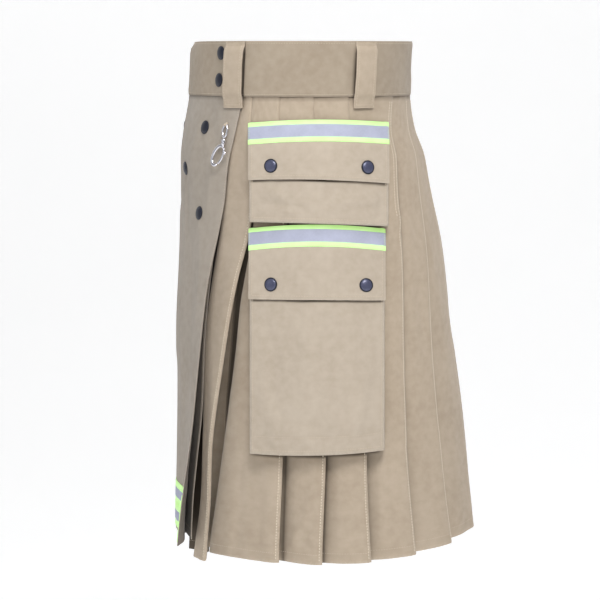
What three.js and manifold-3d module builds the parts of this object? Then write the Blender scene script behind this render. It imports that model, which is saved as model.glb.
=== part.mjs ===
// Utility kilt of cotton drill: a waistband with belt loops, a snapped front apron over an under
// apron, a knife-pleated skirt, two stacked flap pockets on each side and a small swivel clasp.
// Millimetres, +Z up. The wearer faces -Y and the wearer's left side is +X. The origin is the
// centre of the waist, halfway down the waistband. Depths are measured down from the top edge.
import * as THREE from "three";
import { mergeVertices } from "three/addons/utils/BufferGeometryUtils.js";
import Module from "manifold-3d";

const wasm = await Module();
wasm.setup();

// Driving sizes
const LENGTH = 612;
const BAND_HEIGHT = 65;
const TOP = BAND_HEIGHT / 2;
const CLOTH = 1.2;
const BAND_CLOTH = 2.4;
const FLAP_CLOTH = 1.6;
const TAPE_CLOTH = 0.8;
const SEAM = 0.3;
const BACK_RISE = 24;
const RISE_START = -25;
const CENTRE_BACK = 90;

// The body form, one row for each measured level: half width, half depth and how far the
// section's centre lies behind the waist's centre.
const BODY = [
  { depth: 0, halfWidth: 155, halfDepth: 136.2, back: 0 },
  { depth: 64, halfWidth: 156, halfDepth: 135.6, back: -3.6 },
  { depth: 106, halfWidth: 163, halfDepth: 140.9, back: -2.8 },
  { depth: 135, halfWidth: 170, halfDepth: 147.1, back: 2.4 },
  { depth: 165, halfWidth: 174, halfDepth: 149.9, back: 5.8 },
  { depth: 245, halfWidth: 182, halfDepth: 158.6, back: 13.7 },
  { depth: 345, halfWidth: 190, halfDepth: 167, back: 17.9 },
  { depth: 460, halfWidth: 199, halfDepth: 175.5, back: 25.9 },
  { depth: 585, halfWidth: 207, halfDepth: 183.6, back: 31.7 },
  { depth: 612, halfWidth: 209, halfDepth: 185.2, back: 33.5 },
];

// Knife pleats: how deep each is tucked, the pitch of its folded layers and how far the next
// panel drops away below the fold.
const PLEAT = [
  { depth: 65, tuck: 9, layer: 2.0, drop: 2.2 },
  { depth: 200, tuck: 11, layer: 2.0, drop: 2.6 },
  { depth: 330, tuck: 15, layer: 2.6, drop: 5 },
  { depth: 480, tuck: 18, layer: 3.2, drop: 8 },
  { depth: 612, tuck: 20, layer: 3.6, drop: 10 },
];

// Angles of the pleats' fold edges round the body, in degrees from the wearer's left side,
// from just behind the pocket's front edge to the centre back.
const EDGES = [
  { depth: 65, second: -27, third: -10, fourth: 8, fifth: 36, sixth: 51, seventh: 65, eighth: 78 },
  { depth: 200, second: -28, third: -11, fourth: 7, fifth: 24.5, sixth: 42, seventh: 60, eighth: 76 },
  { depth: 330, second: -30.5, third: -13.5, fourth: 4, fifth: 21.3, sixth: 38.5, seventh: 58, eighth: 75 },
  { depth: 480, second: -33.2, third: -16.7, fourth: -0.9, fifth: 16.4, sixth: 34.8, seventh: 55, eighth: 74 },
  { depth: 612, second: -36, third: -20, fourth: -1.8, fifth: 16.8, sixth: 35.8, seventh: 56, eighth: 74.5 },
];
const KNIFE_PLEATS = ["second", "third", "fourth", "fifth", "sixth", "seventh", "eighth"];
const BACK_PLEAT_EDGE = 88.6;
const BACK_SEAM = 89.95;

// The first pleat beside the apron stands open at the wearer's left: the angle and offset where
// it starts under the apron, its ridge, its fold edge, and the gap and drop to the next panel.
const OPEN_FRONT = [
  { depth: 65, start: -56, startOut: -5.4, ridge: -50.5, ridgeOut: -4.6, edge: -41, gap: 0.4, drop: 2.2 },
  { depth: 200, start: -66, startOut: -8, ridge: -60, ridgeOut: -4.6, edge: -43.3, gap: 0.4, drop: 3 },
  { depth: 284, start: -74, startOut: -16, ridge: -67, ridgeOut: -5, edge: -51.7, gap: 2.3, drop: 12 },
  { depth: 370, start: -79, startOut: -22, ridge: -72, ridgeOut: -5, edge: -58.8, gap: 4.6, drop: 20 },
  { depth: 470, start: -80, startOut: -26, ridge: -73, ridgeOut: -4, edge: -66.2, gap: 6.2, drop: 24 },
  { depth: 548, start: -80.5, startOut: -28, ridge: -74, ridgeOut: -4, edge: -68, gap: 4.4, drop: 24 },
  { depth: 612, start: -84, startOut: -30, ridge: -77.5, ridgeOut: -3, edge: -69.5, gap: 4.3, drop: 24 },
];

// The same pleat hangs closed at the wearer's right.
const CLOSED_FRONT = [
  { depth: 65, start: -56, startOut: -5.4, ridge: -50.5, ridgeOut: -4.6, edge: -41, gap: 0.4, drop: 2.2 },
  { depth: 200, start: -61, startOut: -7, ridge: -56, ridgeOut: -4.6, edge: -43, gap: 0.4, drop: 3 },
  { depth: 330, start: -66, startOut: -11, ridge: -60, ridgeOut: -4.8, edge: -46.5, gap: 0.8, drop: 7 },
  { depth: 480, start: -69, startOut: -14, ridge: -63, ridgeOut: -5, edge: -50.5, gap: 1.2, drop: 11 },
  { depth: 612, start: -71, startOut: -16, ridge: -65, ridgeOut: -5, edge: -53, gap: 1.5, drop: 14 },
];

// Half width of the front apron at each side, and how far its left edge kicks forward.
const APRON = [
  { depth: 65, left: 108.5, right: 108.5, kick: 0 },
  { depth: 110, left: 106, right: 109, kick: 0 },
  { depth: 154, left: 98.5, right: 108, kick: 0 },
  { depth: 192, left: 95, right: 107, kick: 0.5 },
  { depth: 284, left: 84, right: 105, kick: 8.5 },
  { depth: 350, left: 80, right: 104, kick: 11.6 },
  { depth: 458, left: 77, right: 104, kick: 20.5 },
  { depth: 548, left: 76, right: 104, kick: 30.7 },
  { depth: 612, left: 76, right: 104, kick: 36.7 },
];
const UNDER_APRON = [
  { depth: 65, left: 97, right: 91, kick: 0 },
  { depth: 154, left: 88, right: 84, kick: 0 },
  { depth: 200, left: 83, right: 80, kick: 0 },
  { depth: 284, left: 72, right: 76, kick: 0.5 },
  { depth: 358, left: 66, right: 74, kick: 1 },
  { depth: 437, left: 64, right: 73, kick: 2.8 },
  { depth: 508, left: 62, right: 72, kick: 8 },
  { depth: 552, left: 61, right: 72, kick: 11 },
  { depth: 612, left: 60, right: 72, kick: 12.3 },
];
const UNDER_APRON_OUT = -2.6;
const SKIRT_LEVELS = [0, 0.04, 0.085, 0.14, 0.25, 0.4, 0.57, 0.77, 1];

// Pockets: the side pocket stack faces a little forward of the wearer's side.
const POCKET_FACING = -16;
const POCKET_STIFFNESS = 0.5;
const POCKET_BOW = 260;
const POCKETS = [
  {
    name: "upper", left: -59, right: 103, flapTop: 96, flapBottom: 165, mouth: 130, bottom: 211,
    standTop: 8.5, standMiddle: 10, standBottom: 11, snapLeft: -34, snapRight: 79, snapDepth: 146.5,
  },
  {
    name: "lower", left: -58.5, right: 99.5, flapTop: 216, flapBottom: 304, mouth: 250, bottom: 484,
    standTop: 9, standMiddle: 13, standBottom: 16, snapLeft: -34, snapRight: 77, snapDepth: 285.5,
  },
];
const FLAP_OVERHANG = 1.2;
const TAPE_HEIGHT = 25;

// Hardware
const LOOP_WIDTH = 29;
const LOOP_ANGLES = [-52.4, 15.8, 90, 164.2, 232.4];
const LOOP_NAMES = ["belt_loop_left_front", "belt_loop_left_side", "belt_loop_back",
  "belt_loop_right_side", "belt_loop_right_front"];
const LOOP_PROFILE = [
  { depth: 0.6, out: 3.1 }, { depth: 5, out: 3.1 }, { depth: 11, out: 10.4 },
  { depth: 60, out: 10.4 }, { depth: 69, out: 4.2 }, { depth: 78.5, out: 2.3 },
];
const LOOP_CLOTH = 1.8;
const SNAP_RADIUS = 7.5;
const SNAP_HEIGHT = 2.8;
const SNAP_PROFILE = [[0, 0], [0.93, 0], [1, 0.28], [0.77, 0.75], [0, 1]];
const WAIST_SNAPS = [14, 46];
const WAIST_SNAP_ANGLE = -61.3;
const APRON_SNAPS = [
  { name: "left_top", across: 54, depth: 102.6 },
  { name: "right_top", across: -80, depth: 102.6 },
  { name: "middle", across: 0, depth: 153.5 },
  { name: "left_bottom", across: 49, depth: 205.4 },
  { name: "right_bottom", across: -78, depth: 205.4 },
];
const APRON_TAPES = [
  { name: "apron_tape_upper", top: 543, bottom: 571 },
  { name: "apron_tape_lower", top: 571.4, bottom: 599.4 },
];

// Colours
const KHAKI = { color: 0xb9a68a, roughness: 0.9, metalness: 0 };
const TAPE = { color: 0xd5e8a0, roughness: 0.45, metalness: 0 };
const SNAP_METAL = { color: 0x20242e, roughness: 0.35, metalness: 0.7 };
const CHROME = { color: 0xd0d2d6, roughness: 0.2, metalness: 1 };

const rad = THREE.MathUtils.degToRad;
const deg = THREE.MathUtils.radToDeg;

// Smooth value of one column of a table at a depth.
function valueAt(table, column, depth) {
  const last = table.length - 1;
  if (depth <= table[0].depth) return table[0][column];
  if (depth >= table[last].depth) return table[last][column];
  let i = 0;
  while (depth > table[i + 1].depth) i += 1;
  const slopeAt = (k) => {
    const low = table[Math.max(k - 1, 0)];
    const high = table[Math.min(k + 1, last)];
    return (high[column] - low[column]) / (high.depth - low.depth);
  };
  const span = table[i + 1].depth - table[i].depth;
  const f = (depth - table[i].depth) / span;
  const rise = f * f * (3 - 2 * f);
  return (
    table[i][column] * (1 - rise) + table[i + 1][column] * rise
    + span * f * (1 - f) * ((1 - f) * slopeAt(i) - f * slopeAt(i + 1))
  );
}

function section(depth) {
  return {
    a: valueAt(BODY, "halfWidth", depth),
    b: valueAt(BODY, "halfDepth", depth),
    back: valueAt(BODY, "back", depth),
  };
}

// A point beside the body form at an angle and depth, moved out along the section's normal.
function onBody(angle, depth, out = 0) {
  const { a, b, back } = section(depth);
  const c = Math.cos(rad(angle));
  const s = Math.sin(rad(angle));
  const n = Math.hypot(c / a, s / b);
  return new THREE.Vector3(
    a * c + (out * c) / a / n,
    back + b * s + (out * s) / b / n,
    TOP - depth,
  );
}

// Degrees round the body that one millimetre takes up.
function degreesPerMm(angle, depth) {
  const { a, b } = section(depth);
  return deg(1 / Math.hypot(a * Math.sin(rad(angle)), b * Math.cos(rad(angle))));
}

// The hem hangs a little higher towards the back.
function hemDepth(angle) {
  const f = THREE.MathUtils.smoothstep(angle, RISE_START, CENTRE_BACK);
  return LENGTH - BACK_RISE * f;
}

// The normal at each point of a grid of points, outward on the wearer's left side.
function gridNormals(grid) {
  const rows = grid.length;
  const columns = grid[0].length;
  return grid.map((row, i) => row.map((_, j) => {
    const along = row[Math.min(j + 1, columns - 1)].clone().sub(row[Math.max(j - 1, 0)]);
    const down = grid[Math.min(i + 1, rows - 1)][j].clone().sub(grid[Math.max(i - 1, 0)][j]);
    return down.cross(along).normalize();
  }));
}

// The same grid moved out from its own surface.
function raised(grid, distance) {
  const normals = gridNormals(grid);
  return grid.map((row, i) => row.map((p, j) => p.clone().addScaledVector(normals[i][j], distance)));
}

// A closed wall of even thickness round a grid of middle points, open at its four sides.
function wall(grid, thickness) {
  const rows = grid.length;
  const columns = grid[0].length;
  const positions = [];
  for (const side of [0.5, -0.5]) {
    raised(grid, side * thickness).flat().forEach((p) => positions.push(p.x, p.y, p.z));
  }
  const front = (i, j) => i * columns + j;
  const back = (i, j) => rows * columns + front(i, j);
  const index = [];
  const quad = (p, q, r, s) => index.push(p, q, r, p, r, s);
  for (let i = 0; i < rows - 1; i += 1) {
    for (let j = 0; j < columns - 1; j += 1) {
      quad(front(i, j), front(i, j + 1), front(i + 1, j + 1), front(i + 1, j));
      quad(back(i, j), back(i + 1, j), back(i + 1, j + 1), back(i, j + 1));
    }
    quad(front(i, 0), front(i + 1, 0), back(i + 1, 0), back(i, 0));
    const e = columns - 1;
    quad(front(i, e), back(i, e), back(i + 1, e), front(i + 1, e));
  }
  for (let j = 0; j < columns - 1; j += 1) {
    quad(front(0, j), back(0, j), back(0, j + 1), front(0, j + 1));
    const e = rows - 1;
    quad(front(e, j), front(e, j + 1), back(e, j + 1), back(e, j));
  }
  return facingOut(positions, index);
}

// Turns every face over when the solid's signed volume is negative.
function facingOut(positions, index) {
  let volume = 0;
  const at = (k) => new THREE.Vector3().fromArray(positions, 3 * k);
  for (let k = 0; k < index.length; k += 3) {
    volume += at(index[k]).dot(at(index[k + 1]).cross(at(index[k + 2])));
  }
  if (volume < 0) {
    for (let k = 0; k < index.length; k += 3) {
      [index[k + 1], index[k + 2]] = [index[k + 2], index[k + 1]];
    }
  }
  const geometry = new THREE.BufferGeometry();
  geometry.setAttribute("position", new THREE.Float32BufferAttribute(positions, 3));
  geometry.setIndex(index);
  geometry.computeVertexNormals();
  return geometry;
}

const kilt = new THREE.Group();

function add(name, geometry, finish, parent = kilt) {
  const mesh = new THREE.Mesh(geometry, new THREE.MeshStandardMaterial(finish));
  mesh.name = name;
  parent.add(mesh);
  return mesh;
}

// Evenly spaced values from one to the other, both ends included.
function stretch(from, to, count) {
  return Array.from({ length: count + 1 }, (_, i) => from + ((to - from) * i) / count);
}

// Mirrors a grid of points to the wearer's right side, starting at its far corner.
function mirrored(grid) {
  return grid.map((row) => row.map((p) => new THREE.Vector3(-p.x, p.y, p.z)).reverse()).reverse();
}

// Waistband: the front stretch carries the snaps, and the back stretch runs round the body and
// ends in a tab under the front stretch at the wearer's left.
function bandGrid(angles, outAt) {
  return [SEAM / 2, BAND_HEIGHT - SEAM / 2].map((depth) => (
    angles.map((angle) => onBody(angle, depth, outAt(angle)))
  ));
}

const BAND_OUT = 0.6;
const BAND_END = -46.3;
const TAB_END = -74;
const TAB_OUT = BAND_OUT - BAND_CLOTH - 1.2;
const BAND_GAP_ANGLE = 0.13;

add("waistband_front",
  wall(bandGrid(stretch(-180 - BAND_END, BAND_END - BAND_GAP_ANGLE, 14), () => BAND_OUT), BAND_CLOTH), KHAKI);
const STEP_START = -42.5;
const STEP_END = -46;
const tabAngles = [...stretch(TAB_END, STEP_END, 5), ...stretch(STEP_END, STEP_START, 4).slice(1)];
const bandBackAngles = [...tabAngles, ...stretch(-38, 180 - BAND_END - BAND_GAP_ANGLE, 40)];
const tabOut = (angle) => (
  BAND_OUT + (TAB_OUT - BAND_OUT) * THREE.MathUtils.smoothstep(-angle, -STEP_START, -STEP_END)
);
add("waistband_back", wall(bandGrid(bandBackAngles, tabOut), BAND_CLOTH), KHAKI);

// Aprons: flat panels across the front. The left edge kicks forward towards the hem.
function apronPoint(table, share, depth, out) {
  const { a } = section(depth);
  const left = valueAt(table, "left", depth);
  const right = valueAt(table, "right", depth);
  const across = -right + (left + right) * share;
  const angle = -deg(Math.acos(across / a));
  const p = onBody(angle, depth, out);
  const reach = Math.max(across, 0) / left;
  p.y -= valueAt(table, "kick", depth) * reach * reach;
  return p;
}

const APRON_COLUMNS = stretch(0, 1, 18);
const APRON_LEVELS = [0, 0.09, 0.17, 0.26, 0.4, 0.54, 0.7, 0.85, 1];

function apronGrid(table, out, columns, top, bottom, levels) {
  return levels.map((level) => {
    const depth = top + (bottom - top) * level;
    return columns.map((share) => apronPoint(table, share, depth, out));
  });
}

const SKIRT_TOP = BAND_HEIGHT + SEAM / 2;
const APRON_BOTTOM = LENGTH - 8;
const UNDER_APRON_BOTTOM = LENGTH - 12;
const TAPE_OFF_APRON = CLOTH / 2 + TAPE_CLOTH / 2 + 0.48;
add("front_apron",
  wall(apronGrid(APRON, 0, APRON_COLUMNS, SKIRT_TOP, APRON_BOTTOM, APRON_LEVELS), CLOTH), KHAKI);
add("under_apron",
  wall(apronGrid(UNDER_APRON, UNDER_APRON_OUT, APRON_COLUMNS, SKIRT_TOP, UNDER_APRON_BOTTOM, APRON_LEVELS),
    CLOTH), KHAKI);
for (const tape of APRON_TAPES) {
  const grid = apronGrid(APRON, 0, APRON_COLUMNS, tape.top, tape.bottom, [0, 1]);
  add(tape.name, wall(raised(grid, TAPE_OFF_APRON), TAPE_CLOTH), TAPE);
}

// Pleated skirt, one piece for each side from under the apron to the centre back.
const NOSE = 1.4;

// The turn at a pleat's fold edge, the tucked layer behind it and the turn at its inner end.
function foldTurn(edge, perMm, layer, drop, tuck) {
  return [
    { angle: edge - NOSE * perMm, out: 0 },
    { angle: edge, out: -layer / 2 },
    { angle: edge - NOSE * perMm, out: -layer },
    { angle: edge - tuck * perMm, out: -layer - 0.15 * drop },
    { angle: edge - (tuck + NOSE) * perMm, out: -layer - 0.58 * drop },
    { angle: edge - tuck * perMm, out: -layer - drop },
  ];
}

// The visible panel that rises from below the last fold to its own.
function risingPanel(from, to, depthBelow, perMm) {
  return [0, 0.3, 0.65].map((f) => ({
    angle: from + 1.2 * perMm + (to - from) * f * 0.97,
    out: -depthBelow * (1 - Math.sin((f * Math.PI) / 2)),
  }));
}

function sideProfile(depth, front) {
  const layer = valueAt(PLEAT, "layer", depth);
  const tuck = valueAt(PLEAT, "tuck", depth);
  const drop = valueAt(PLEAT, "drop", depth);
  const first = (column) => valueAt(front, column, depth);
  const ridge = first("ridge");
  const firstEdge = first("edge");
  const perMmFirst = degreesPerMm(firstEdge, depth);
  const firstTuck = Math.min(tuck, (0.5 * (firstEdge - ridge)) / perMmFirst);
  const profile = [
    { angle: first("start"), out: first("startOut") },
    { angle: ridge - 1, out: first("ridgeOut") - 3 },
    { angle: ridge, out: first("ridgeOut") },
    { angle: ridge + 0.45 * (firstEdge - ridge), out: first("ridgeOut") * 0.52 },
    { angle: ridge + 0.8 * (firstEdge - ridge), out: 0 },
    ...foldTurn(firstEdge, perMmFirst, layer, first("drop"), firstTuck),
  ];
  const shoulder = firstEdge + first("gap");
  const below = layer + first("drop");
  const second = valueAt(EDGES, "second", depth);
  profile.push({ angle: shoulder - 0.3 * first("gap"), out: -below });
  profile.push({ angle: shoulder + 0.3, out: -0.45 * below });
  profile.push({ angle: shoulder + 1.2, out: -0.1 * below });
  profile.push({ angle: shoulder + 0.4 * (second - shoulder), out: -0.02 * below });
  profile.push({ angle: shoulder + 0.75 * (second - shoulder), out: 0 });
  let edge = second;
  let perMm = degreesPerMm(edge, depth);
  profile.push(...foldTurn(edge, perMm, layer, drop, tuck));
  const later = [...KNIFE_PLEATS.slice(1).map((name) => valueAt(EDGES, name, depth)), BACK_PLEAT_EDGE];
  for (const next of later) {
    profile.push(...risingPanel(edge, next, layer + drop, perMm));
    edge = next;
    perMm = degreesPerMm(edge, depth);
    profile.push(...foldTurn(edge, perMm, layer, drop, tuck));
  }
  profile.push({ angle: BACK_SEAM, out: -layer - drop });
  return profile;
}

function skirtGrid(front) {
  return SKIRT_LEVELS.map((level) => {
    const nominal = SKIRT_TOP + (LENGTH - SKIRT_TOP) * level;
    return sideProfile(nominal, front).map(({ angle, out }) => {
      const depth = SKIRT_TOP + (hemDepth(angle) - SKIRT_TOP) * level;
      return onBody(angle, depth, out);
    });
  });
}

add("skirt_left", wall(skirtGrid(OPEN_FRONT), CLOTH), KHAKI);
add("skirt_right", wall(mirrored(skirtGrid(CLOSED_FRONT)), CLOTH), KHAKI);

// Pocket frame: across runs level along the pocket's face, and facing points away from the body.
const FACING = new THREE.Vector3(Math.cos(rad(POCKET_FACING)), Math.sin(rad(POCKET_FACING)), 0);
const ACROSS = new THREE.Vector3(-FACING.y, FACING.x, 0);

// How far out a surface lies along the facing direction, at a place across the pocket, when it
// is a given distance clear of the body form.
function bodyReach(across, depth, clear = 0) {
  const { a, b, back } = section(depth);
  const amplitude = Math.hypot(a * ACROSS.x, b * ACROSS.y);
  const phase = Math.atan2(a * ACROSS.x, b * ACROSS.y);
  const angle = Math.asin((across - back * ACROSS.y) / amplitude) - phase;
  const c = Math.cos(angle);
  const s = Math.sin(angle);
  const lean = (FACING.x * c / a + FACING.y * s / b) / Math.hypot(c / a, s / b);
  return a * FACING.x * c + b * FACING.y * s + back * FACING.y + clear / lean;
}

// A pocket panel is stiffer than the body is round: it bows less than the body form.
function pocketReach(pocket, across, depth, stiffness) {
  const middle = (pocket.left + pocket.right) / 2;
  const flat = bodyReach(middle, depth) - (across - middle) ** 2 / (2 * POCKET_BOW);
  const body = bodyReach(across, depth);
  return Math.max(THREE.MathUtils.lerp(body, flat, stiffness), body);
}

function pocketPoint(across, reach, depth) {
  return new THREE.Vector3(0, 0, TOP - depth)
    .addScaledVector(ACROSS, across)
    .addScaledVector(FACING, reach);
}

function standAt(pocket, depth) {
  const table = [
    { depth: pocket.mouth, stand: pocket.standTop },
    { depth: (pocket.mouth + pocket.bottom) / 2, stand: pocket.standMiddle },
    { depth: pocket.bottom, stand: pocket.standBottom },
  ];
  return valueAt(table, "stand", depth);
}

// Pocket bag: a front panel with turned sides and bottom, open at its mouth under the flap.
const POCKET_BACK = 1.9;
const CORNER = 2;
const FLOOR_TURN = 0.8;
const FLOOR_INSET = 2.4;

function pocketGrid(pocket) {
  const inner = stretch(pocket.left + CORNER, pocket.right - CORNER, 7);
  const fall = pocket.bottom - pocket.mouth - CORNER;
  const rows = [0, 0.3, 0.62, 0.9, 1].map((f) => pocket.mouth + fall * f);
  const sides = (depth, inset) => {
    const stand = standAt(pocket, depth) - inset;
    const front = (across) => pocketReach(pocket, across, depth, POCKET_STIFFNESS) + stand;
    const back = (across) => bodyReach(across, depth, POCKET_BACK);
    return [
      pocketPoint(pocket.left, back(pocket.left), depth),
      pocketPoint(pocket.left, front(pocket.left) - CORNER, depth),
      ...inner.map((across) => pocketPoint(across, front(across), depth)),
      pocketPoint(pocket.right, front(pocket.right) - CORNER, depth),
      pocketPoint(pocket.right, back(pocket.right), depth),
    ];
  };
  const grid = rows.map((depth) => sides(depth, 0));
  grid.push(sides(pocket.bottom - FLOOR_TURN, FLOOR_INSET));
  const acrossAll = [pocket.left, pocket.left, ...inner, pocket.right, pocket.right];
  grid.push(acrossAll.map((across) => (
    pocketPoint(across, bodyReach(across, pocket.bottom, POCKET_BACK), pocket.bottom)
  )));
  return grid;
}

// Flap: sewn to the skirt along its top edge and lying over the pocket's mouth.
const FLAP_SEAT = CLOTH / 2 + SEAM + FLAP_CLOTH / 2 + 0.2;
const FLAP_COVER = 2.2;

function flapPoint(pocket, across, depth) {
  const fall = THREE.MathUtils.smoothstep(depth, pocket.flapTop, pocket.flapTop + TAPE_HEIGHT + 4);
  const seated = bodyReach(across, depth, FLAP_SEAT);
  const over = pocketReach(pocket, across, depth, POCKET_STIFFNESS)
    + standAt(pocket, Math.max(depth, pocket.mouth)) + FLAP_COVER;
  return pocketPoint(across, THREE.MathUtils.lerp(seated, over, fall), depth);
}

function flapGrid(pocket) {
  const { flapTop, flapBottom, left, right } = pocket;
  const columns = stretch(left - FLAP_OVERHANG, right + FLAP_OVERHANG, 8);
  const below = flapTop + TAPE_HEIGHT + 4;
  const depths = [flapTop, flapTop + TAPE_HEIGHT / 2, flapTop + TAPE_HEIGHT, below,
    (below + flapBottom) / 2, flapBottom];
  return depths.map((depth) => columns.map((across) => flapPoint(pocket, across, depth)));
}

const snapShape = SNAP_PROFILE.map(([r, h]) => new THREE.Vector2(r * SNAP_RADIUS, h * SNAP_HEIGHT));

// A domed snap cap on a surface point, its axis along the outward normal.
function addSnap(name, point, normal) {
  const mesh = add(name, new THREE.LatheGeometry(snapShape, 10), SNAP_METAL);
  mesh.quaternion.setFromUnitVectors(new THREE.Vector3(0, 1, 0), normal);
  mesh.position.copy(point);
}

// Surface point and outward normal from a function of two parameters.
function surfaceFrame(at, u, v, step) {
  const p = at(u, v);
  const along = at(u + step, v).sub(at(u - step, v));
  const down = at(u, v + step).sub(at(u, v - step));
  const normal = down.cross(along).normalize();
  if (normal.x * p.x + normal.y * p.y < 0) normal.negate();
  return { p, normal };
}

const SNAP_SEAT = 0.5;
for (const side of ["left", "right"]) {
  const flip = (grid) => (side === "left" ? grid : mirrored(grid));
  for (const pocket of POCKETS) {
    add(`${pocket.name}_pocket_${side}`, wall(flip(pocketGrid(pocket)), CLOTH), KHAKI);
    const flap = flapGrid(pocket);
    add(`${pocket.name}_flap_${side}`, wall(flip(flap), FLAP_CLOTH), KHAKI);
    const tape = raised(flap, FLAP_CLOTH / 2 + SEAM + TAPE_CLOTH / 2).slice(0, 3);
    add(`${pocket.name}_tape_${side}`, wall(flip(tape), TAPE_CLOTH), TAPE);
    for (const place of ["front", "back"]) {
      const across = place === "front" ? pocket.snapLeft : pocket.snapRight;
      const frame = surfaceFrame((u, v) => flapPoint(pocket, u, v), across, pocket.snapDepth, 3);
      if (side === "right") {
        frame.p.x *= -1;
        frame.normal.x *= -1;
      }
      frame.p.addScaledVector(frame.normal, FLAP_CLOTH / 2 + SNAP_SEAT);
      addSnap(`snap_${pocket.name}_flap_${side}_${place}`, frame.p, frame.normal);
    }
  }
  WAIST_SNAPS.forEach((depth, i) => {
    const angle = side === "left" ? WAIST_SNAP_ANGLE : -180 - WAIST_SNAP_ANGLE;
    const at = (u, v) => onBody(u, v, BAND_OUT + BAND_CLOTH / 2);
    const { p, normal } = surfaceFrame(at, angle, depth, 2);
    p.addScaledVector(normal, SNAP_SEAT);
    addSnap(`snap_waist_${side}_${i + 1}`, p, normal);
  });
}

const apronSurface = (share, depth) => apronPoint(APRON, share, depth, CLOTH / 2);
for (const snap of APRON_SNAPS) {
  const left = valueAt(APRON, "left", snap.depth);
  const right = valueAt(APRON, "right", snap.depth);
  const share = (snap.across + right) / (left + right);
  const at = (u, v) => apronSurface(share + u / (left + right), snap.depth + v);
  const { p, normal } = surfaceFrame(at, 0, 0, 4);
  p.addScaledVector(normal, SNAP_SEAT);
  addSnap(`snap_apron_${snap.name}`, p, normal);
}

// Belt loops: straps sewn down at both ends that stand off the band between them.
LOOP_NAMES.forEach((name, i) => {
  const centre = LOOP_ANGLES[i];
  const half = (LOOP_WIDTH / 2) * degreesPerMm(centre, BAND_HEIGHT / 2);
  const columns = stretch(centre - half, centre + half, 3);
  const grid = LOOP_PROFILE.map(({ depth, out }) => columns.map((angle) => onBody(angle, depth, out)));
  add(name, wall(grid, LOOP_CLOTH), KHAKI);
});

// Swivel clasp, hung by its eye beside the apron's left edge. Its own frame has x level along
// the cloth towards the wearer's back, y up the cloth and z out of it.
const CLASP_ANGLE = -54.4;
const CLASP_DEPTH = 106;
const CLASP_LEAN = 5;
const EYE_HALF_WIDTH = 3.6;
const EYE_HALF_HEIGHT = 7.4;
const EYE_WIRE = 1.0;
const POST_TOP = -7.6;
const POST_RADIUS = 0.9;
const POST_FOOT = 1.7;
const POST_END = -14.6;
const RUNNING_GAP = 0.35;
const HEAD_RADIUS = 2.8;
const HEAD_TOP = -9.4;
const HEAD_BOTTOM = -17;
const CHAMBER_TOP = -13.05;
const CHAMBER_BOTTOM = -15;
const CLAW_CENTRE = new THREE.Vector2(-6.4, -29.4);
const CLASP_OFF_CLOTH = 2.35;
const CLAW_TILT = 27;
const CLAW_THICK = 2.6;

const claspAt = surfaceFrame((u, v) => onBody(u, v, CLOTH / 2), CLASP_ANGLE, CLASP_DEPTH, 1.5);
const claspUp = new THREE.Vector3(0, 0, 1).addScaledVector(claspAt.normal, -claspAt.normal.z).normalize();
const claspAlong = claspUp.clone().cross(claspAt.normal).normalize();
const clasp = new THREE.Group();
clasp.matrixAutoUpdate = false;
const leaned = new THREE.Matrix4().makeRotationX(rad(-CLASP_LEAN));
clasp.matrix.makeBasis(claspAlong, claspUp, claspAt.normal).multiply(leaned);
clasp.matrix.setPosition(claspAt.p.clone().addScaledVector(claspAt.normal, CLASP_OFF_CLOTH));
kilt.add(clasp);

function toSolid(geometry) {
  const bare = geometry.clone();
  bare.deleteAttribute("normal");
  bare.deleteAttribute("uv");
  const merged = mergeVertices(bare, 1e-4);
  return new wasm.Manifold(new wasm.Mesh({
    numProp: 3,
    vertProperties: new Float32Array(merged.attributes.position.array),
    triVerts: new Uint32Array(merged.index.array),
  }));
}

function fromSolid(solid) {
  const mesh = solid.getMesh();
  const geometry = new THREE.BufferGeometry();
  geometry.setAttribute("position", new THREE.Float32BufferAttribute(mesh.vertProperties, 3));
  geometry.setIndex(Array.from(mesh.triVerts));
  geometry.computeVertexNormals();
  return geometry;
}

// Eye: an oval wire ring with the swivel post under it, which ends in a flat foot.
function wireRing(halfWidth, halfHeight, wire, steps, sides) {
  const positions = [];
  const index = [];
  for (let i = 0; i < steps; i += 1) {
    const turn = (2 * Math.PI * i) / steps;
    const outward = new THREE.Vector2(Math.cos(turn) / halfWidth, Math.sin(turn) / halfHeight).normalize();
    for (let j = 0; j < sides; j += 1) {
      const round = (2 * Math.PI * j) / sides;
      const reach = wire * Math.cos(round);
      positions.push(
        halfWidth * Math.cos(turn) + reach * outward.x,
        halfHeight * Math.sin(turn) + reach * outward.y,
        wire * Math.sin(round),
      );
      const at = (a, b) => ((i + a) % steps) * sides + ((j + b) % sides);
      index.push(at(0, 0), at(1, 0), at(1, 1), at(0, 0), at(1, 1), at(0, 1));
    }
  }
  return facingOut(positions, index);
}

const eyeRing = wireRing(EYE_HALF_WIDTH, EYE_HALF_HEIGHT, EYE_WIRE, 18, 6);
const postShape = [
  [0, POST_TOP + 1], [POST_RADIUS + 0.5, POST_TOP + 1], [POST_RADIUS + 0.5, POST_TOP - 0.8],
  [POST_RADIUS, POST_TOP - 0.8], [POST_RADIUS, POST_END + 1.2], [POST_FOOT, POST_END + 1.2],
  [POST_FOOT, POST_END], [0, POST_END],
].map(([r, y]) => new THREE.Vector2(r, y)).reverse();
const post = new THREE.LatheGeometry(postShape, 10);
add("clasp_eye", fromSolid(toSolid(eyeRing).add(toSolid(post))), CHROME, clasp);

// Claw: a head that turns on the post and an oval hook that opens at its back edge.
function ovalPoint(radiusX, radiusY, angle) {
  const p = new THREE.Vector2(radiusX * Math.cos(rad(angle)), radiusY * Math.sin(rad(angle)));
  return p.rotateAround(new THREE.Vector2(0, 0), rad(-CLAW_TILT)).add(CLAW_CENTRE);
}

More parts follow.
